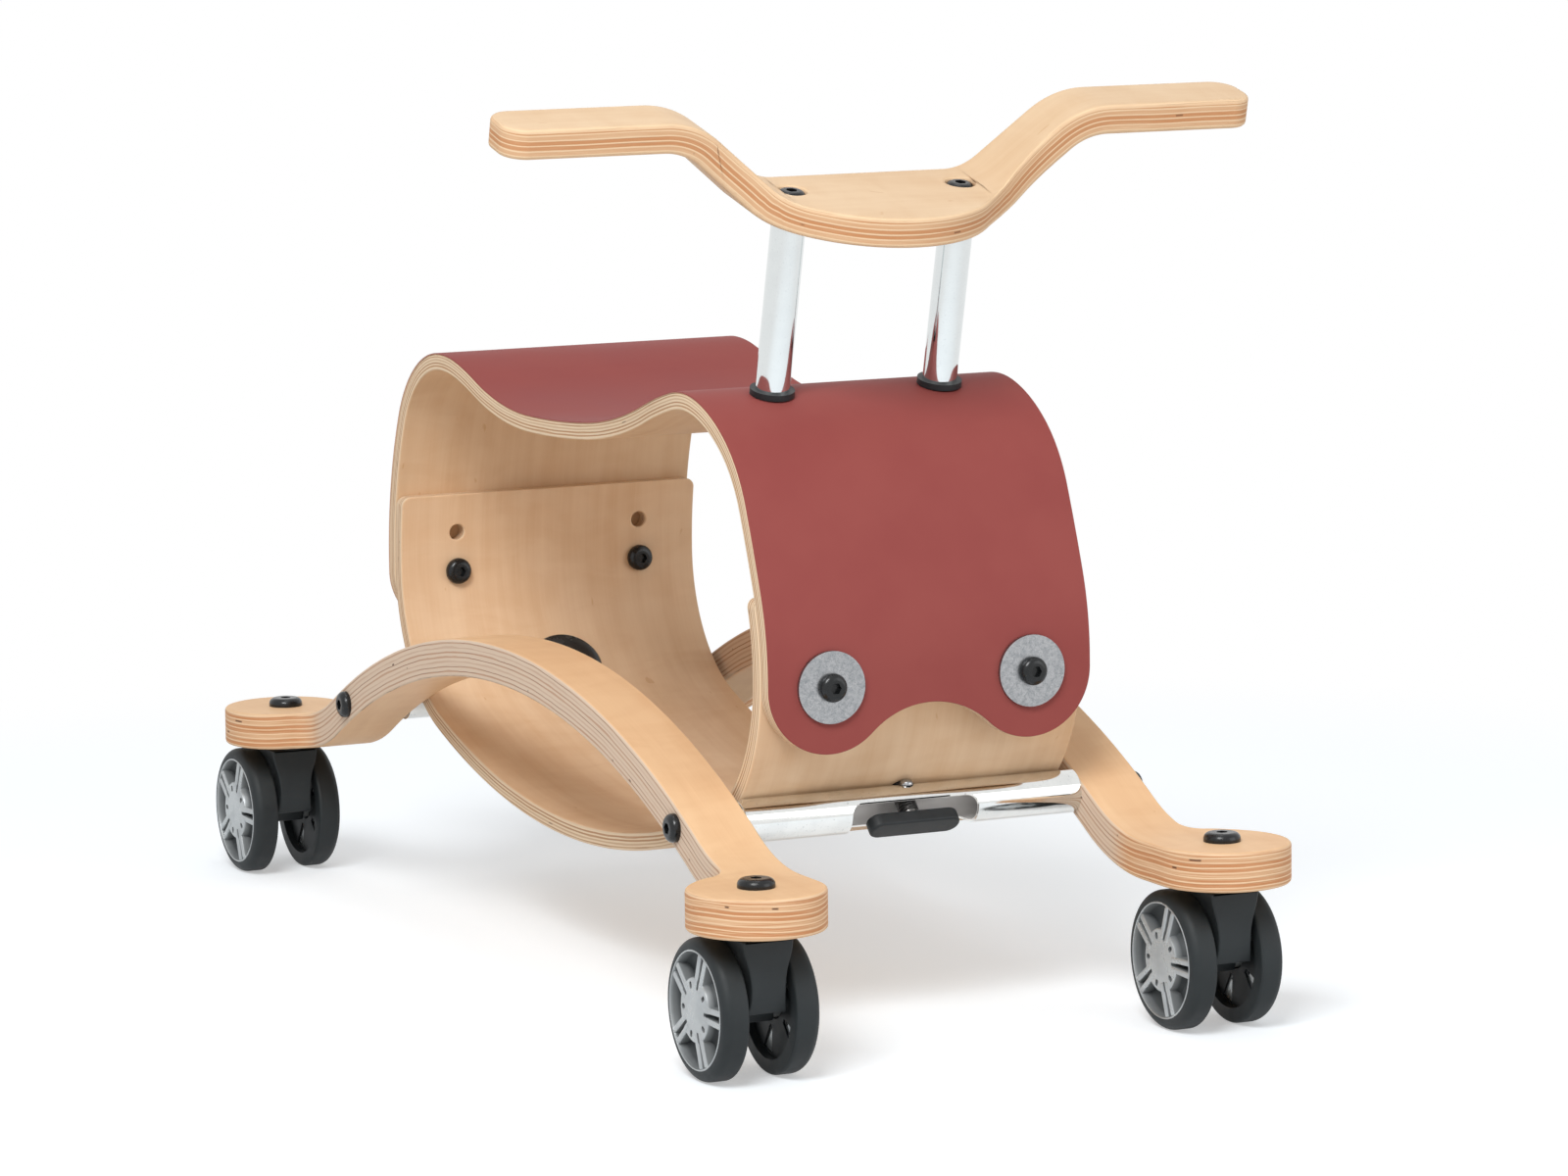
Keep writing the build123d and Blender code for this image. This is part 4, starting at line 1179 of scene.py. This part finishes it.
@dataclass
class SideArch:
    """A bent plywood arch that carries a caster under the pad at each of its ends."""

    hand: str
    ply: float = 19.4
    strip: float = 33.0
    pad_radius: float = 33.2
    radius: float = 488.0
    foot_radius: float = 106.5
    pad_level: float = 20.7
    blend: float = 12.0
    edge: float = 1.6
    cutter_height: float = 300.0

    def build(self) -> None:
        """Bends the arch and cuts its strip and round pads."""
        low, high = (Vector(corner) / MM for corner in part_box(f"arch_{self.hand}"))
        way = 1 if self.hand == "left" else -1
        inner = low.x if way > 0 else -high.x
        mid_y = (low.y + high.y) / 2
        end = (high.y - low.y) / 2
        stem_y = end - self.pad_radius
        foot_y = stem_y - self.pad_level
        swing = degrees(asin(foot_y / (self.radius + self.foot_radius)))
        half = self.ply / 2
        level = self.pad_radius + self.pad_level + SPARE
        route = Route((-end - SPARE, low.z + self.ply), 0).run(level)
        route.bend(self.foot_radius - half, swing).bend(self.radius + half, -2 * swing)
        route.bend(self.foot_radius - half, swing).run(level)
        plan = Bench(Vector((0, mid_y, 0)), X * way, Y)
        centre_x = inner + self.pad_radius
        outer_x = inner + self.strip
        waist = asin((outer_x + self.blend - centre_x) / (self.pad_radius + self.blend))
        neck = degrees(pi / 2 - waist)
        waist_y = stem_y - (self.pad_radius + self.blend) * cos(waist)
        outline = Route((inner, -stem_y), 90).run(2 * stem_y).bend(self.pad_radius, -180 - neck)
        outline.bend(self.blend, neck).run(2 * waist_y).bend(self.blend, neck)
        outline.bend(self.pad_radius, -180 - neck)
        reach = 2 * self.pad_radius + SPARE
        sides = (inner - SPARE, inner + reach) if way > 0 else (-inner - reach, -inner + SPARE)
        side = Bench(Vector((0, mid_y, 0)), Y, Z)
        sheet = BentSheet(f"arch_{self.hand}_ply", side, route, 0.0, self.ply, sides, self.edge)
        cutter = prism("arch_outline", plan, outline, -self.cutter_height, self.cutter_height, COARSE_STEP)
        hand_over(sheet.build(cutter), "frame", ARCH_PLY, f"arch_{self.hand}")


@dataclass
class Handlebar:
    """The bent plywood handlebar on its two leaning posts."""

    ply: float = 15.0
    half_length: float = 199.0
    rise: float = 38.8
    slope: float = 40.0
    foot_x: float = 55.6
    foot_radius: float = 26.4
    grip_radius: float = 44.8
    grip_front: float = 10.0
    back: float = 22.3
    front: float = 51.0
    bulge: float = 62.0
    neck: float = 60.0
    end_radius: float = 12.0
    tilt: float = radians(14.0)
    head: float = 14.4
    sunk: float = 4.4
    seat_height: float = 20.0
    bolt_x: float = 45.2
    edge: float = 2.0
    cutter_height: float = 80.0

    def build(self) -> None:
        """Bends the bar, cuts its outline and sinks its two bolt seats."""
        axis = Vector((0, -sin(self.tilt), cos(self.tilt)))
        origin = self._origin(axis)
        lean = radians(self.slope)
        grip_x = self.foot_x + self.rise / (sin(lean) / cos(lean))
        cut = [r * sin(lean / 2) / cos(lean / 2) for r in (self.grip_radius, self.foot_radius)]
        grip_run = self.half_length - grip_x - cut[0]
        slope_run = self.rise / sin(lean) - cut[0] - cut[1]
        plateau = 2 * (self.foot_x - cut[1])
        elevation = Bench(origin, X, axis)
        route = Route((-self.half_length - SPARE, self.rise), 0).run(grip_run + SPARE)
        route.bend(self.grip_radius, -self.slope).run(slope_run).bend(self.foot_radius, self.slope)
        route.run(plateau).bend(self.foot_radius, self.slope).run(slope_run)
        route.bend(self.grip_radius, -self.slope).run(grip_run + SPARE)
        plan = Bench(origin, X, axis.cross(X))
        round_end = self.end_radius
        reach = self.neck + self.grip_front + self.bulge - self.front
        neck_x = sqrt((self.bulge + self.neck) ** 2 - reach**2)
        swing = degrees(asin(neck_x / (self.bulge + self.neck)))
        width = self.back + self.grip_front - 2 * round_end
        straight = self.half_length - round_end
        outline = Route((-straight, self.back), 0).run(2 * straight)
        outline.bend(round_end, -90).run(width).bend(round_end, -90).run(straight - neck_x)
        outline.bend(self.neck, swing).bend(self.bulge, -2 * swing).bend(self.neck, swing)
        outline.run(straight - neck_x).bend(round_end, -90).run(width).bend(round_end, -90)
        seats = [
            rod("bolt_seat", plan, (x, 0, -self.sunk), self.head / 2, self.seat_height)
            for x in (-self.bolt_x, self.bolt_x)
        ]
        sides = (-self.back - SPARE, self.front + SPARE)
        sheet = BentSheet("handlebar_ply", elevation, route, 0.0, self.ply, sides, self.edge)
        cutter = prism("bar_outline", plan, outline, -self.cutter_height, self.cutter_height, COARSE_STEP)
        hand_over(sheet.build(cutter, seats), "frame", BAR_PLY, "handlebar")

    def _origin(self, axis: Vector) -> Vector:
        """Middle of the bar's top face between its bolts, from where the posts stand."""
        low, high = (Vector(corner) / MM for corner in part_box("post_left"))
        radius = (high.x - low.x) / 2
        length = ((high.z - low.z) - 2 * radius * sin(self.tilt)) / cos(self.tilt)
        centre = (low + high) / 2
        centre.x = 0
        return centre + axis * (length / 2 + self.ply)


@dataclass
class Caster:
    """A twin-wheel caster: its fork, two tyres and two spoked rims."""

    place: str
    wheel_radius: float = 34.0
    tyre_width: float = 13.0
    tyre_depth: float = 5.4
    heel: float = 1.6
    shoulder: float = 4.9
    lip: float = 2.0
    web: float = 4.0
    hub: float = 15.0
    hub_holes: tuple[float, float] = (11.6, 12.6)
    boss: float = 7.0
    bore: float = 4.05
    trail: float = 16.0
    fork_width: float = 22.2
    fork_tip: float = 21.2
    fork_foot: float = 34.6
    crown: float = 14.0
    spokes: int = 5
    rib_width: float = 3.1
    rib_spread: float = radians(2.4)

    def tyre(self) -> Piece:
        """A tyre with a round shoulder, moulded on a dark barrel that closes the wheel's back."""
        inner, web = self.wheel_radius - self.tyre_depth, self.web
        barrel, heel, floor = inner - self.lip, self.heel, inner - 0.5
        work = Work("tyre", FRONT_VIEW, (0.0, barrel))
        profile = Route((0.0, barrel), 90).run(self.tyre_depth + self.lip - heel).bend(heel, -90)
        profile.run(self.tyre_width - heel - self.shoulder).bend(self.shoulder, -90)
        profile.run(self.tyre_depth - self.shoulder - 0.3).bend(0.3, -90).run(1.2)
        work.follow(profile, points=True, step=radians(12))
        end = profile.legs[-1].point(1.2)
        work.line((
            (end.x, end.y), (end.x, floor), (web + 0.8, floor), (web + 0.8, 8.0), (web, 8.0),
            (web, barrel), (0.0, barrel),
        ))
        work.weld(0.02)
        work.lathe(72, (0, 0), X)
        piece = work.done(0.005)
        bench = Bench(Vector((1.0, 0, 0)), Y, Z)
        for number in range(self.spokes):
            carve(piece, self.window(bench, number, (12.0, 25.4), (1.2, 4.6), 8.0))
        smooth(piece, 30, weighted=False)
        return piece

    def window(
        self, bench: Bench, number: int, radii: Sequence[float], halves: Sequence[float], depth: float
    ) -> Piece:
        """A wedge for the opening between the two ribs of one spoke.

        Args:
            bench: The plane of the wheel.
            number: Which spoke it belongs to.
            radii: Inner and outer radius of the wedge.
            halves: Half its width at each of them.
            depth: How deep it goes.

        Returns:
            The wedge.
        """
        (low, high), (root, top) = radii, halves
        angle = tau * number / self.spokes
        turned = Bench(
            bench.origin,
            bench.along * cos(angle) + bench.up * sin(angle),
            bench.up * cos(angle) - bench.along * sin(angle),
        )
        work = Work("wedge", turned, (low, -root))
        work.edge(high - low, root - top).edge(0, 2 * top).edge(low - high, root - top).fill()
        work.pull(0, 0, depth)
        return work.done()

    def rim(self) -> Piece:
        """A rim with a flat hub, twin ribs over deep pockets and a thin bright lip, with painted shade in
        its pockets.
        """
        face, edge = self.tyre_width, self.wheel_radius - self.tyre_depth - 0.1
        back, hub = self.web + 1.0, self.hub
        profile = (
            (1.0, self.bore), (1.0, self.boss), (8.6, self.boss), (8.6, 12.6), (back, 15.2),
            (back, edge - 0.5), (12.2, edge - 0.5), (12.4, edge), (face - 0.1, edge),
            (face + 0.2, edge - 0.35), (face, edge - 0.8), (11.4, edge - 1.2), (8.6, edge - 2.0),
            (6.9, edge - 3.6), (6.2, 22.4), (6.4, 19.2), (7.1, 17.4), (9.2, hub + 1.1), (11.9, hub + 0.7),
            (face - 0.2, hub + 0.4), (face + 0.1, hub), (face + 0.3, 6.0), (face + 0.35, 0.01),
            (5.0, 0.01), (5.0, self.bore),
        )
        work = Work("rim", FRONT_VIEW, profile[0])
        work.line((*profile, profile[0]))
        work.weld(0.005)
        work.lathe(80, (0, 0), X)
        piece = work.done(0.02)
        low = Bench(Vector((6.0, 0, 0)), Y, Z)
        for number in range(self.spokes):
            carve(piece, self.window(low, number, (10.6, 27.4), (0.8, 1.5), 12.0))
            angle = tau * (number + 0.5) / self.spokes
            for reach in self.hub_holes:
                place = (reach * cos(angle), reach * sin(angle), 9.6)
                carve(piece, rod("hub_hole", SIDE_VIEW, place, 1.25, 8))
        tidy(piece, 0.05, 0.2)
        join(piece, self.ribs(face))
        smooth(piece, 32, weighted=False)
        # Marks how deep each point lies in a pocket, for the painted shade that the silver finish lays
        # there.
        layer = piece.data.attributes.new("recess", "FLOAT", "POINT")
        heights = [vertex.co.x for vertex in piece.data.vertices]
        pocket_shade = [(face - 0.5 - height) / 1.8 if height > back + 0.5 else 0.0 for height in heights]
        layer.data.foreach_set("value", [min(max(drop, 0.0), 1.0) for drop in pocket_shade])
        return piece

    def ribs(self, face: float) -> Piece:
        """Ten round-backed ribs in diverging pairs, from the hub down to the lip."""
        foot, top, width, spread = self.web + 1.2, face + 0.45, self.rib_width, self.rib_spread
        radial = Y * cos(spread) + Z * sin(spread)
        origin = SIDE_VIEW.at(0, 0.8 + width - 10.6 * sin(spread), 0)
        work = Work("ribs", Bench(origin, radial, SIDE_VIEW.across), (10.4, foot))
        work.edge(17.2, 0).edge(0, face - foot).edge(-13.4, top - face).edge(-3.8, 0).edge(0, foot - top)
        work.fill().pull(0, 0, width)
        bpy.ops.mesh.select_all(action="SELECT")
        bpy.ops.mesh.normals_make_consistent(inside=False)
        bpy.ops.mesh.bevel(offset=1.0, segments=4, affect="EDGES")
        rib = work.done()
        other = rib.copy()
        other.data = rib.data.copy()
        bpy.context.scene.collection.objects.link(other)
        other.data.transform(Matrix.Scale(-1, 4, Z))
        other.data.flip_normals()
        join(rib, other)
        bpy.ops.object.mode_set(mode="EDIT")
        bpy.ops.mesh.select_all(action="SELECT")
        more = self.spokes - 1
        swing = tau * more / self.spokes
        bpy.ops.mesh.spin(steps=more, dupli=True, angle=swing, center=(0, 0, 0), axis=X)
        bpy.ops.object.mode_set(mode="OBJECT")
        return rib

    def fork(self) -> Piece:
        """A fork that narrows below its round crown and ends in a flat sole."""
        top, foot, crown, trail = self._top(), self.fork_foot, self.crown, self.trail
        start = (-crown + 1, top - 3)
        outline = Route(start, -90).run(22).bend_to((-crown + 4, foot))
        legs = Work("fork", SIDE_VIEW, (*start, -crown))
        legs.follow(outline, points=True, step=radians(6))
        legs.line((
            (-crown + 4, foot), (trail - 12, foot), (trail - 6, foot - 8), (trail + 6, foot - 8),
            (trail + 12, self.wheel_radius + 6), (crown + 2, top - 9), (crown - 1, top - 3), start,
        ))
        legs.fill().pull(0, 0, 2 * crown)
        piece = legs.done(0.02)
        shape = Route((crown - 1, top + 1), -90).run(2.5).bend_to((self.fork_width / 2, top - 13))
        shape.bend_to((self.fork_tip / 2, foot)).run(foot - 4)
        half = [leg.point(leg.length * step / 6) for leg in shape.legs for step in range(7)]
        ring = half + [Vector((-p.x, p.y)) for p in reversed(half)]
        face = Work("fork_front", FRONT_VIEW, (*ring[0], -60))
        for here, there in zip(ring, ring[1:] + ring[:1]):
            if (there - here).length > 0.01:
                face.edge(there.x - here.x, there.y - here.y)
        face.fill().pull(0, 0, 120)
        carve(piece, face.done(0.02), Cut.KEEP_INSIDE)
        tidy(piece, 0.2, 0.5)
        ease(piece, 1.1, 3, 35)
        cap = rod("crown", Bench(Vector((0, 0, top - 5.4)), X, Y), (0, 0, 0), crown - 1, 5.4)
        ease(cap, 0.8, 2)
        join(piece, cap)
        smooth(piece, 35)
        return piece

    def _top(self) -> float:
        """Height of the fork's crown."""
        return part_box(f"caster_fork_{self.place}")[1][2] / MM

    @classmethod
    def build_all(cls) -> None:
        """Models one caster and puts a copy of its pieces at each corner."""
        first = cls("front_left")
        tyre, rim, fork = (settle(part) for part in (first.tyre(), first.rim(), first.fork()))
        for place in ("front_left", "front_right", "rear_left", "rear_right"):
            hub = middle(f"caster_axle_{place}")
            stem = Matrix.Translation(Vector((hub.x, hub.y - first.trail, 0)) * MM)
            piece = copy_piece(fork, f"fork_shell_{place}", stem)
            hand_over(piece, f"caster_{place}", FORK_BLACK, f"caster_fork_{place}")
            for side, angle in (("a", 0.0), ("b", pi)):
                wheel = f"{place}_{side}"
                low, high = (Vector(corner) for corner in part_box(f"tyre_{place}_{side}"))
                inner = high.x if angle else low.x
                move = Matrix.Translation(Vector((inner, hub.y * MM, hub.z * MM)))
                move @= Matrix.Rotation(angle, 4, "Z")
                for part, name, finish, node in (
                    (tyre, "tyre_tread", RUBBER, "tyre"),
                    (rim, "rim_face", SILVER, "rim"),
                ):
                    piece = copy_piece(part, f"{name}_{wheel}", move)
                    hand_over(piece, f"wheel_{wheel}", finish, f"{node}_{wheel}")
        for part in (tyre, rim, fork):
            bpy.data.objects.remove(part, do_unlink=True)


@dataclass
class ClampScrew:
    """A clamp screw: its flanged insert in the bowl, its threaded stud and its wing knob."""

    end: str
    lean: float = radians(44.0)
    flange: float = 38.0
    flange_height: float = 3.0
    barrel: float = 20.0
    barrel_depth: float = 6.0
    recess: float = 19.0
    recess_depth: float = 4.55
    knob_length: float = 48.0
    knob_width: float = 12.0
    knob_height: float = 7.0
    stud: float = 10.0
    pitch: float = 1.5
    tooth: float = 0.9

    @property
    def axis(self) -> Vector:
        """The way from the bowl's inside out along the screw."""
        return Vector((0, (-1 if self.end == "front" else 1) * sin(self.lean), -cos(self.lean)))

    def stud_length(self) -> float:
        """Length of the stud, from its box."""
        low, high = (Vector(corner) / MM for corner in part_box(f"clamp_stud_{self.end}"))
        return ((high.z - low.z) - self.stud * sin(self.lean)) / cos(self.lean)

    def mouth(self) -> Bench:
        """A plane on the inner face of the insert's flange, facing out along the screw."""
        return self._bench(f"clamp_stud_{self.end}", self.stud_length() / 2 + self.recess_depth)

    def _bench(self, node: str, back: float = 0.0) -> Bench:
        """A plane square to the screw through the middle of a plain round node."""
        return Bench(middle(node) - self.axis * back, X, self.axis.cross(X))

    def insert(self) -> None:
        """Turns the insert, with a conical recess and a small hole at its middle."""
        mouth = self.mouth()
        axis = mouth.across
        half, cup, sole = self.flange / 2, self.recess / 2, self.flange_height + self.barrel_depth
        barrel = self.barrel / 2 - 0.1
        profile = (
            (half, 3.0), (half, 1.0), (half - 0.9, 0.15), (half - 1.8, 0.0), (cup + 2.2, 0.25),
            (cup + 0.6, 0.9), (cup - 1.0, 3.6), (3.6, 4.4), (3.2, 4.7), (3.0, 6.5), (0.01, 6.5),
            (0.01, sole), (barrel, sole), (barrel, 3.0),
        )
        work = Work(f"clamp_insert_ring_{self.end}", Bench(mouth.origin, X, axis), profile[0])
        work.line(profile)
        bpy.ops.mesh.select_all(action="SELECT")
        bpy.ops.mesh.edge_face_add()
        bpy.ops.mesh.delete(type="ONLY_FACE")
        work.lathe(64, (0, 0), axis)
        piece = work.done(0.02)
        smooth(piece, 30, weighted=False)
        hand_over(settle(piece), "frame", GLOSS_BLACK, f"clamp_insert_{self.end}")

    def knob(self) -> None:
        """Shapes the wing knob with its round ends."""
        node = f"clamp_knob_{self.end}"
        bench = self._bench(node, self.knob_height / 2)
        half, reach = self.knob_width / 2, self.knob_length / 2
        work = Work(f"wing_knob_{self.end}", bench, (-reach + half, -half))
        shape = Route((-reach + half, -half), 0).run(2 * (reach - half)).bend(half, 180)
        shape.run(2 * (reach - half)).bend(half, 180)
        work.follow(shape, points=True, step=radians(10)).fill()
        work.pull(0, 0, self.knob_height)
        piece = work.done(0.02)
        ease(piece, 1.3, 3, 40)
        smooth(piece, 35)
        hand_over(settle(piece), f"clamp_screw_{self.end}", BLACK, node)

    def thread(self) -> None:
        """Cuts the stud's thread as a screw of one drawn tooth."""
        node = f"clamp_stud_{self.end}"
        bench = self._bench(node)
        radius = self.stud / 2
        length = self.stud_length()
        turns = int(length / self.pitch) - 1
        work = Work(f"clamp_thread_{self.end}", FRONT_VIEW, (radius - self.tooth, 0))
        work.edge(self.tooth, self.pitch * 0.45).edge(0, self.pitch * 0.1)
        work.edge(-self.tooth, self.pitch * 0.45)
        bpy.ops.object.mode_set(mode="OBJECT")
        piece = work.piece
        modify(
            piece, "SCREW", angle=tau, screw_offset=self.pitch, iterations=turns, steps=32,
            render_steps=32, axis="Z", use_merge_vertices=True, merge_threshold=0.01,
        )
        core = rod("stud_core", Bench(Vector((0, 0, 0)), X, Y), (0, 0, 0), radius - 0.7, length)
        ease(core, 0.6, 2)
        join(piece, core)
        turn = Matrix((X, bench.up, bench.across)).transposed().to_4x4()
        piece.data.transform(Matrix.Translation(bench.at(0, 0, -length / 2)) @ turn)
        smooth(piece, 30, weighted=False)
        collar = f"clamp_collar_{self.end}"
        hand_over(settle(piece), f"clamp_screw_{self.end}", THREAD, node, collar, slot="zinc_steel")

    def build(self) -> None:
        """Builds the three pieces of the clamp screw."""
        self.insert()
        self.knob()
        self.thread()


class Hardware:
    """Finishes of the bolts, tubes, washers and plugs that keep their own shapes."""

    BORE = 0.00915
    FINISHES = {
        "post_left": CHROME,
        "post_right": CHROME,
        "face_washers": ZINC,
        "post_foot_washers": ZINC,
        "tube_rivets": ZINC,
        "caster_stems": ZINC,
        "caster_axle": ZINC,
        "post_collars": BLACK,
        "post_plugs": BLACK,
        "tube_end_plugs": BLACK,
    }

    @classmethod
    def dress(cls) -> None:
        """Dresses every node that still shows."""
        finishes: dict[str, Finish] = dict(cls.FINISHES)
        for end in ("front", "rear"):
            centre = middle(f"cross_tube_{end}") * MM
            finishes[f"cross_tube_{end}"] = BoredTube(
                f"chromed tube {end}", colour="E6E7E5", dull="9DA1A4", spots=(0.62, 0.72), patchy=0.1,
                bore=(centre.y, centre.z, cls.BORE),
            )
        for name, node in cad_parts.items():
            if name in STOOD_FOR:
                continue
            finish = next((f for prefix, f in finishes.items() if name.startswith(prefix)), BLACKED)
            finish.put_on(node)
            LOG.info("%s keeps its shape, in %s", name, finish.name)


# ------------------------------------------------------------------ studio
@dataclass
class Studio:
    """A white floor and backdrop, soft lamps and the camera."""

    camera_place: tuple[float, float, float] = (-1.3472, -2.9471, 0.6426)
    turn: float = radians(-25.209)
    lift: float = radians(8.039)
    roll: float = radians(-0.663)
    lens: float = 146.47
    floor_size: float = 16.0
    floor_paper: float = 0.735
    floor_glow: float = 0.4
    floor_tint: tuple[float, float, float] = (0.95, 1.01, 1.06)
    fade: tuple[float, float] = (0.6, 0.95)
    lamps: dict[str, tuple[tuple[float, float, float], float, float]] = field(
        default_factory=lambda: {
            "key": ((-1.5, -1.8, 2.45), 1.3, 74.0),
            "top": ((0.15, 0.25, 3.0), 0.9, 6.0),
            "fill": ((2.2, -2.6, 1.1), 2.2, 22.0),
        }
    )

    def build(self) -> None:
        """Sets up the floor, the world, the lamps and the camera."""
        self._floor()
        self._world()
        for name, (place, size, power) in self.lamps.items():
            bpy.ops.object.light_add(type="AREA", location=place)
            lamp = bpy.context.object
            lamp.name = name
            lamp.data.energy = power
            lamp.data.size = size
            aim = Vector(place) - Vector((0, 0, 0.2))
            lamp.rotation_euler = aim.to_track_quat("Z", "Y").to_euler()
        self._camera()
        bpy.context.scene.view_settings.view_transform = "Standard"

    @staticmethod
    def _seen(wire: Wiring) -> Socket:
        """One for rays from the camera, in a reflection or through glass."""
        path = wire.add("ShaderNodeLightPath").outputs
        either = wire.sum("MAXIMUM", path["Is Camera Ray"], path["Is Glossy Ray"])
        return wire.sum("MAXIMUM", either, path["Is Transmission Ray"])

    def _floor(self) -> None:
        """Lays a white floor that keeps a soft shadow."""
        bpy.ops.mesh.primitive_plane_add(size=self.floor_size, location=(0, 0, 0))
        floor = bpy.context.object
        floor.name = "studio_floor"
        material = bpy.data.materials.new("studio floor")
        material.use_nodes = True
        wire = Wiring(material.node_tree)
        material.node_tree.nodes.clear()
        seen = self._seen(wire)
        colour = wire.add("ShaderNodeCombineColor").outputs[0]
        for channel, tint in zip(("Red", "Green", "Blue"), self.floor_tint):
            level = wire.ramp(seen, 0.0, 1.0, (0.8, self.floor_paper * tint))
            wire.feed(colour.node.inputs[channel], level)
        paper = wire.add("ShaderNodeBsdfDiffuse", {"Color": colour}).outputs[0]
        level = wire.sum("MULTIPLY", seen, self.floor_glow)
        glow = wire.add("ShaderNodeEmission", {"Color": (1, 1, 1, 1), "Strength": level}).outputs[0]
        near = wire.add("ShaderNodeAddShader", {0: paper, 1: glow}).outputs[0]
        white = wire.add("ShaderNodeEmission", {"Color": (1, 1, 1, 1), "Strength": 1.0}).outputs[0]
        far = wire.sum("MULTIPLY", wire.ramp(wire.length(wire.place()), *self.fade), seen)
        both = wire.add("ShaderNodeMixShader", {0: far, 1: near, 2: white}).outputs[0]
        wire.add("ShaderNodeOutputMaterial", {"Surface": both})
        floor.data.materials.append(material)

    def _world(self) -> None:
        """Makes the surroundings white to the eye and softer as a lamp."""
        world = bpy.data.worlds.new("studio")
        bpy.context.scene.world = world
        world.use_nodes = True
        wire = Wiring(world.node_tree)
        shine = world.node_tree.nodes["Background"]
        wire.feed(shine.inputs["Strength"], wire.ramp(self._seen(wire), 0.0, 1.0, (0.4, 1.0)))
        shine.inputs["Color"].default_value = (1, 1, 1, 1)

    def _camera(self) -> None:
        """Stands the camera a little above the toy and to its right."""
        level = cos(self.lift)
        back = Vector((sin(self.turn) * level, -cos(self.turn) * level, sin(self.lift)))
        right = (-back).cross(Z).normalized()
        up = right.cross(-back)
        side = right * cos(self.roll) + up * sin(self.roll)
        crown = up * cos(self.roll) - right * sin(self.roll)
        bpy.ops.object.camera_add(location=self.camera_place)
        camera = bpy.context.object
        camera.name = "camera"
        camera.rotation_euler = Matrix((side, crown, back)).transposed().to_euler()
        camera.data.lens = self.lens
        camera.data.sensor_width = 36.0
        camera.data.clip_end = 50.0
        bpy.context.scene.camera = camera


def main() -> None:
    """Builds the toy's pieces in order."""
    logging.basicConfig(level=logging.INFO, format="%(name)s: %(message)s")
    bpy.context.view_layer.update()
    Body().build()
    for hand in ("left", "right"):
        SideArch(hand).build()
    Handlebar().build()
    Caster.build_all()
    for end in ("front", "rear"):
        ClampScrew(end).build()
    Hardware.dress()
    Studio().build()


if __name__ == "__main__":
    main()
